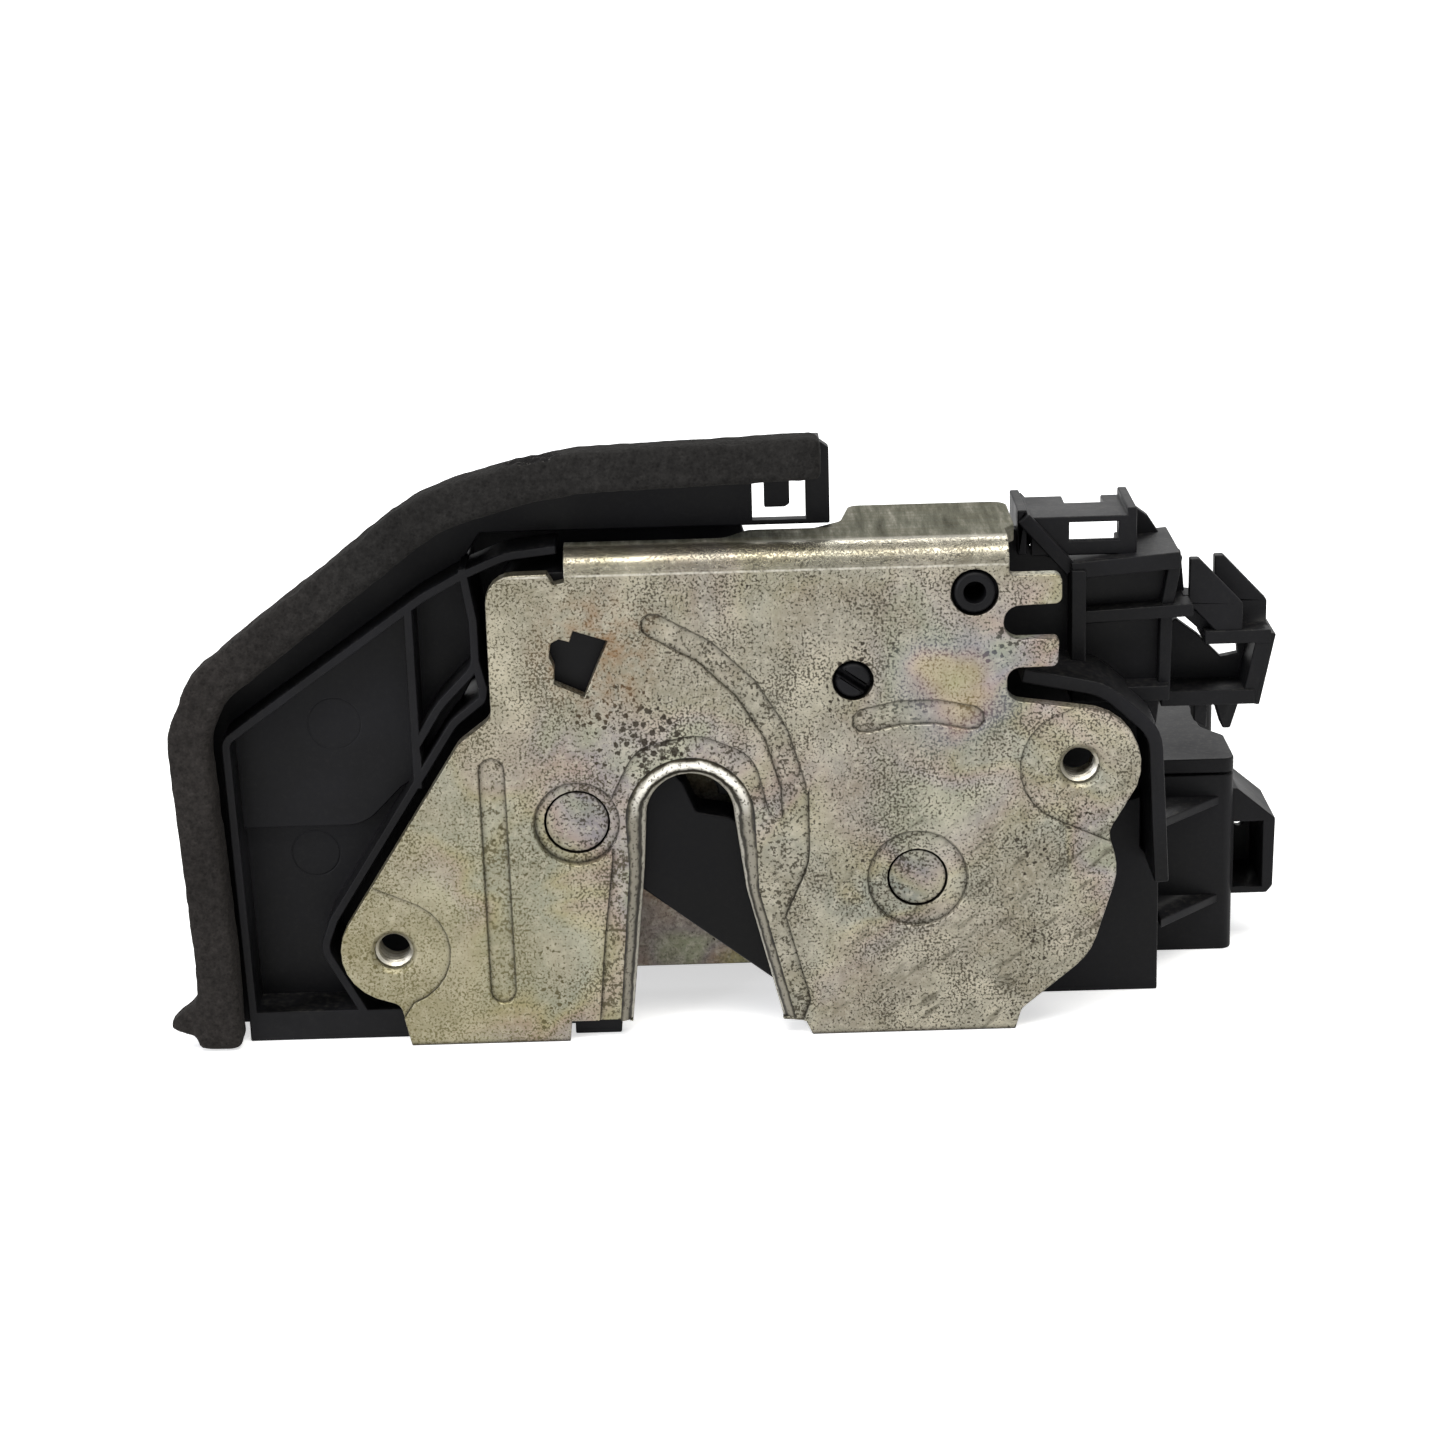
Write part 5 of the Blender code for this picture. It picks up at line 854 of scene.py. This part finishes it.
class LATCH_OT_rivets(bpy.types.Operator):
    """Make the two rivets with their pressed heads"""

    bl_idname = "latch.rivets"
    bl_label = "Rivets"

    def execute(self, context):
        look = zinc_plated_steel("zinc plated rivet", linear("#7C7A70"), shade=0.88)
        for node in ("claw_rivet", "pawl_rivet"):
            low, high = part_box(node)
            centre = ((low.x + high.x) / 2 / MM, (low.z + high.z) / 2 / MM)
            radius = (high.x - low.x) / 2 / MM + HEAD_OVERHANG
            front = low.y / MM
            back = high.y / MM
            # The head is dished in the middle and rounded at its rim
            head = [(0.0, front + 0.12), (radius * 0.62, front + 0.10), (radius * 0.74, front + 0.02),
                    (radius * 0.90, front), (radius - 0.12, front + 0.06), (radius, front + 0.3)]
            shank = [(radius, STEP_DEPTHS[0]), (radius - 1.0, STEP_DEPTHS[1]), (radius - 1.0, back),
                     (0.0, back)]
            turned_piece(node + "_finished", head + shank, centre, [node], look)
        return {"FINISHED"}


class LATCH_OT_mouldings(bpy.types.Operator):
    """Make the black mouldings: case, housing, actuator housing, cover and socket"""

    bl_idname = "latch.mouldings"
    bl_label = "Mouldings"

    def execute(self, context):
        sizes = settings()
        black = glass_filled_nylon("black glass filled nylon", sizes.moulding_colour)
        case = glass_filled_nylon("black nylon of the case", linear("#0C0C0E"), 0.42, 0.2)
        soft_edged("latch_case", case, sizes.moulding_edge)
        marked = glass_filled_nylon("black nylon with pin marks", sizes.moulding_colour,
                                    marks=EJECTOR_MARKS)
        soft_edged("main_housing", marked, sizes.moulding_edge)
        for node in ("actuator_housing", "actuator_cover", "connector_socket"):
            soft_edged(node, black, sizes.moulding_edge)
        return {"FINISHED"}


class LATCH_OT_foam(bpy.types.Operator):
    """Make the foam seal: cut edges rounded off, skin uneven and pitted"""

    bl_idname = "latch.foam"
    bl_label = "Foam seal"

    def execute(self, context):
        sizes = settings()
        block = object_from("foam_block", merged_copy("foam_seal"))
        bevel = block.modifiers.new("Edges", "BEVEL")
        bevel.width = 1.1 * MM
        bevel.segments = 3
        bevel.use_clamp_overlap = False
        remesh = block.modifiers.new("Cells", "REMESH")
        remesh.mode = "VOXEL"
        remesh.voxel_size = sizes.foam_voxel
        graph = context.evaluated_depsgraph_get()
        mesh = bpy.data.meshes.new_from_object(block.evaluated_get(graph))
        bpy.data.objects.remove(block)
        bm = bmesh.new()
        bm.from_mesh(mesh)
        bpy.data.meshes.remove(mesh)
        bmesh.ops.smooth_vert(bm, verts=bm.verts, factor=0.5,
                              use_axis_x=True, use_axis_y=True, use_axis_z=True)
        bm.normal_update()
        low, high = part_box("foam_seal")
        for vert in bm.verts:
            inward = self.unevenness(vert.co, sizes.foam_swell)
            vert.co += vert.normal * inward
            for k in range(3):
                vert.co[k] = min(max(vert.co[k], low[k]), high[k])
        obj = object_from("foam_seal_finished", bm)
        obj.data.shade_smooth()
        place_piece(obj, ["foam_seal"], open_cell_foam("open cell foam", sizes.foam_colour))
        return {"FINISHED"}

    def unevenness(self, place, swell):
        """How far the skin moves here: slow waves, small tufts and a few torn pits, all inwards."""
        slow = noise.noise(place * 90.0)
        tuft = noise.noise(place * 700.0)
        torn = noise.noise(place * 260.0 + Vector((3.0, 1.0, 7.0)))
        pit = max(0.0, torn - 0.38) * 3.2
        away = (place - Vector((TORN_X, 1.0, TORN_Z)) * MM).length
        rip = max(0.0, 1.0 - away / (4.5 * MM)) * max(0.0, tuft + 0.3) * 4.0
        return -swell * (0.3 + 0.35 * slow + 0.35 * tuft + pit + rip)


class LATCH_OT_mechanism(bpy.types.Operator):
    """Make claw, pawl, springs, buffers, switches and levers"""

    bl_idname = "latch.mechanism"
    bl_label = "Mechanism"

    def execute(self, context):
        coating = glass_filled_nylon("polymer coated claw", linear("#020203"), 0.42, 0.25)
        soft_edged("claw", coating, 0.35 * MM, segments=3)
        steel = drawn_steel("drawn steel", "#96948B", 0.38)
        for node in ("pawl", "release_lever", "inside_release_lever", "lever_pin"):
            soft_edged(node, steel, 0.15 * MM)
        spring = drawn_steel("spring steel", "#7E7D7A", 0.3)
        for node in ("claw_spring", "pawl_spring"):
            soft_edged(node, spring, 0.25 * MM)
        rubber = soft_rubber("moulded rubber")
        for node in ("striker_bumper", "claw_stop", "pawl_stop"):
            soft_edged(node, rubber, 0.3 * MM)
        acetal = natural_acetal("natural acetal")
        for node in ("claw_switch", "pawl_switch"):
            soft_edged(node, acetal, 0.15 * MM)
        return {"FINISHED"}


class LATCH_OT_drive(bpy.types.Operator):
    """Make the lock drive: motor, worm, wheel, lever, key coupler and contacts"""

    bl_idname = "latch.drive"
    bl_label = "Lock drive"

    def execute(self, context):
        steel = drawn_steel("zinc plated motor can", "#A3A199", 0.35)
        acetal = natural_acetal("natural acetal of the drive")
        brass = turned_brass("turned brass")
        for node in ("lock_motor", "wheel_axle", "lock_lever"):
            soft_edged(node, steel, 0.15 * MM)
        for node in ("worm_wheel", "key_coupler"):
            soft_edged(node, acetal, 0.12 * MM)
        for node in ("motor_worm", "contact_strip"):
            soft_edged(node, brass, 0.06 * MM, angle=40, segments=1)
        screws = drawn_steel("plated screw steel", "#8F8D86", 0.3)
        for node in sorted(frame["nodes"]):
            if node.startswith("cover_screw"):
                soft_edged(node, screws, 0.15 * MM)
        return {"FINISHED"}


class LATCH_PT_panel(bpy.types.Panel):
    """Lists the sizes, the colours and the steps"""

    bl_idname = "LATCH_PT_panel"
    bl_label = "Door Latch"
    bl_space_type = "VIEW_3D"
    bl_region_type = "UI"
    bl_category = "Latch"

    def draw(self, context):
        layout = self.layout
        for name in LatchSettings.__annotations__:
            layout.prop(context.scene.latch_settings, name)
        for step in STEPS:
            layout.operator(step.bl_idname)


STEPS = (LATCH_OT_stage, LATCH_OT_plates, LATCH_OT_rivets, LATCH_OT_mouldings, LATCH_OT_foam,
         LATCH_OT_mechanism, LATCH_OT_drive)


def register():
    """Register the settings, the operators and the panel."""
    for kind in (LatchSettings, *STEPS, LATCH_PT_panel):
        bpy.utils.register_class(kind)
    bpy.types.Scene.latch_settings = bpy.props.PointerProperty(type=LatchSettings)


def unregister():
    """Take the settings, the operators and the panel away."""
    del bpy.types.Scene.latch_settings
    for kind in (LATCH_PT_panel, *reversed(STEPS), LatchSettings):
        bpy.utils.unregister_class(kind)


def main():
    """Register the add-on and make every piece."""
    register()
    for step in STEPS:
        group, name = step.bl_idname.split(".")
        getattr(getattr(bpy.ops, group), name)()


if __name__ == "__main__":
    main()
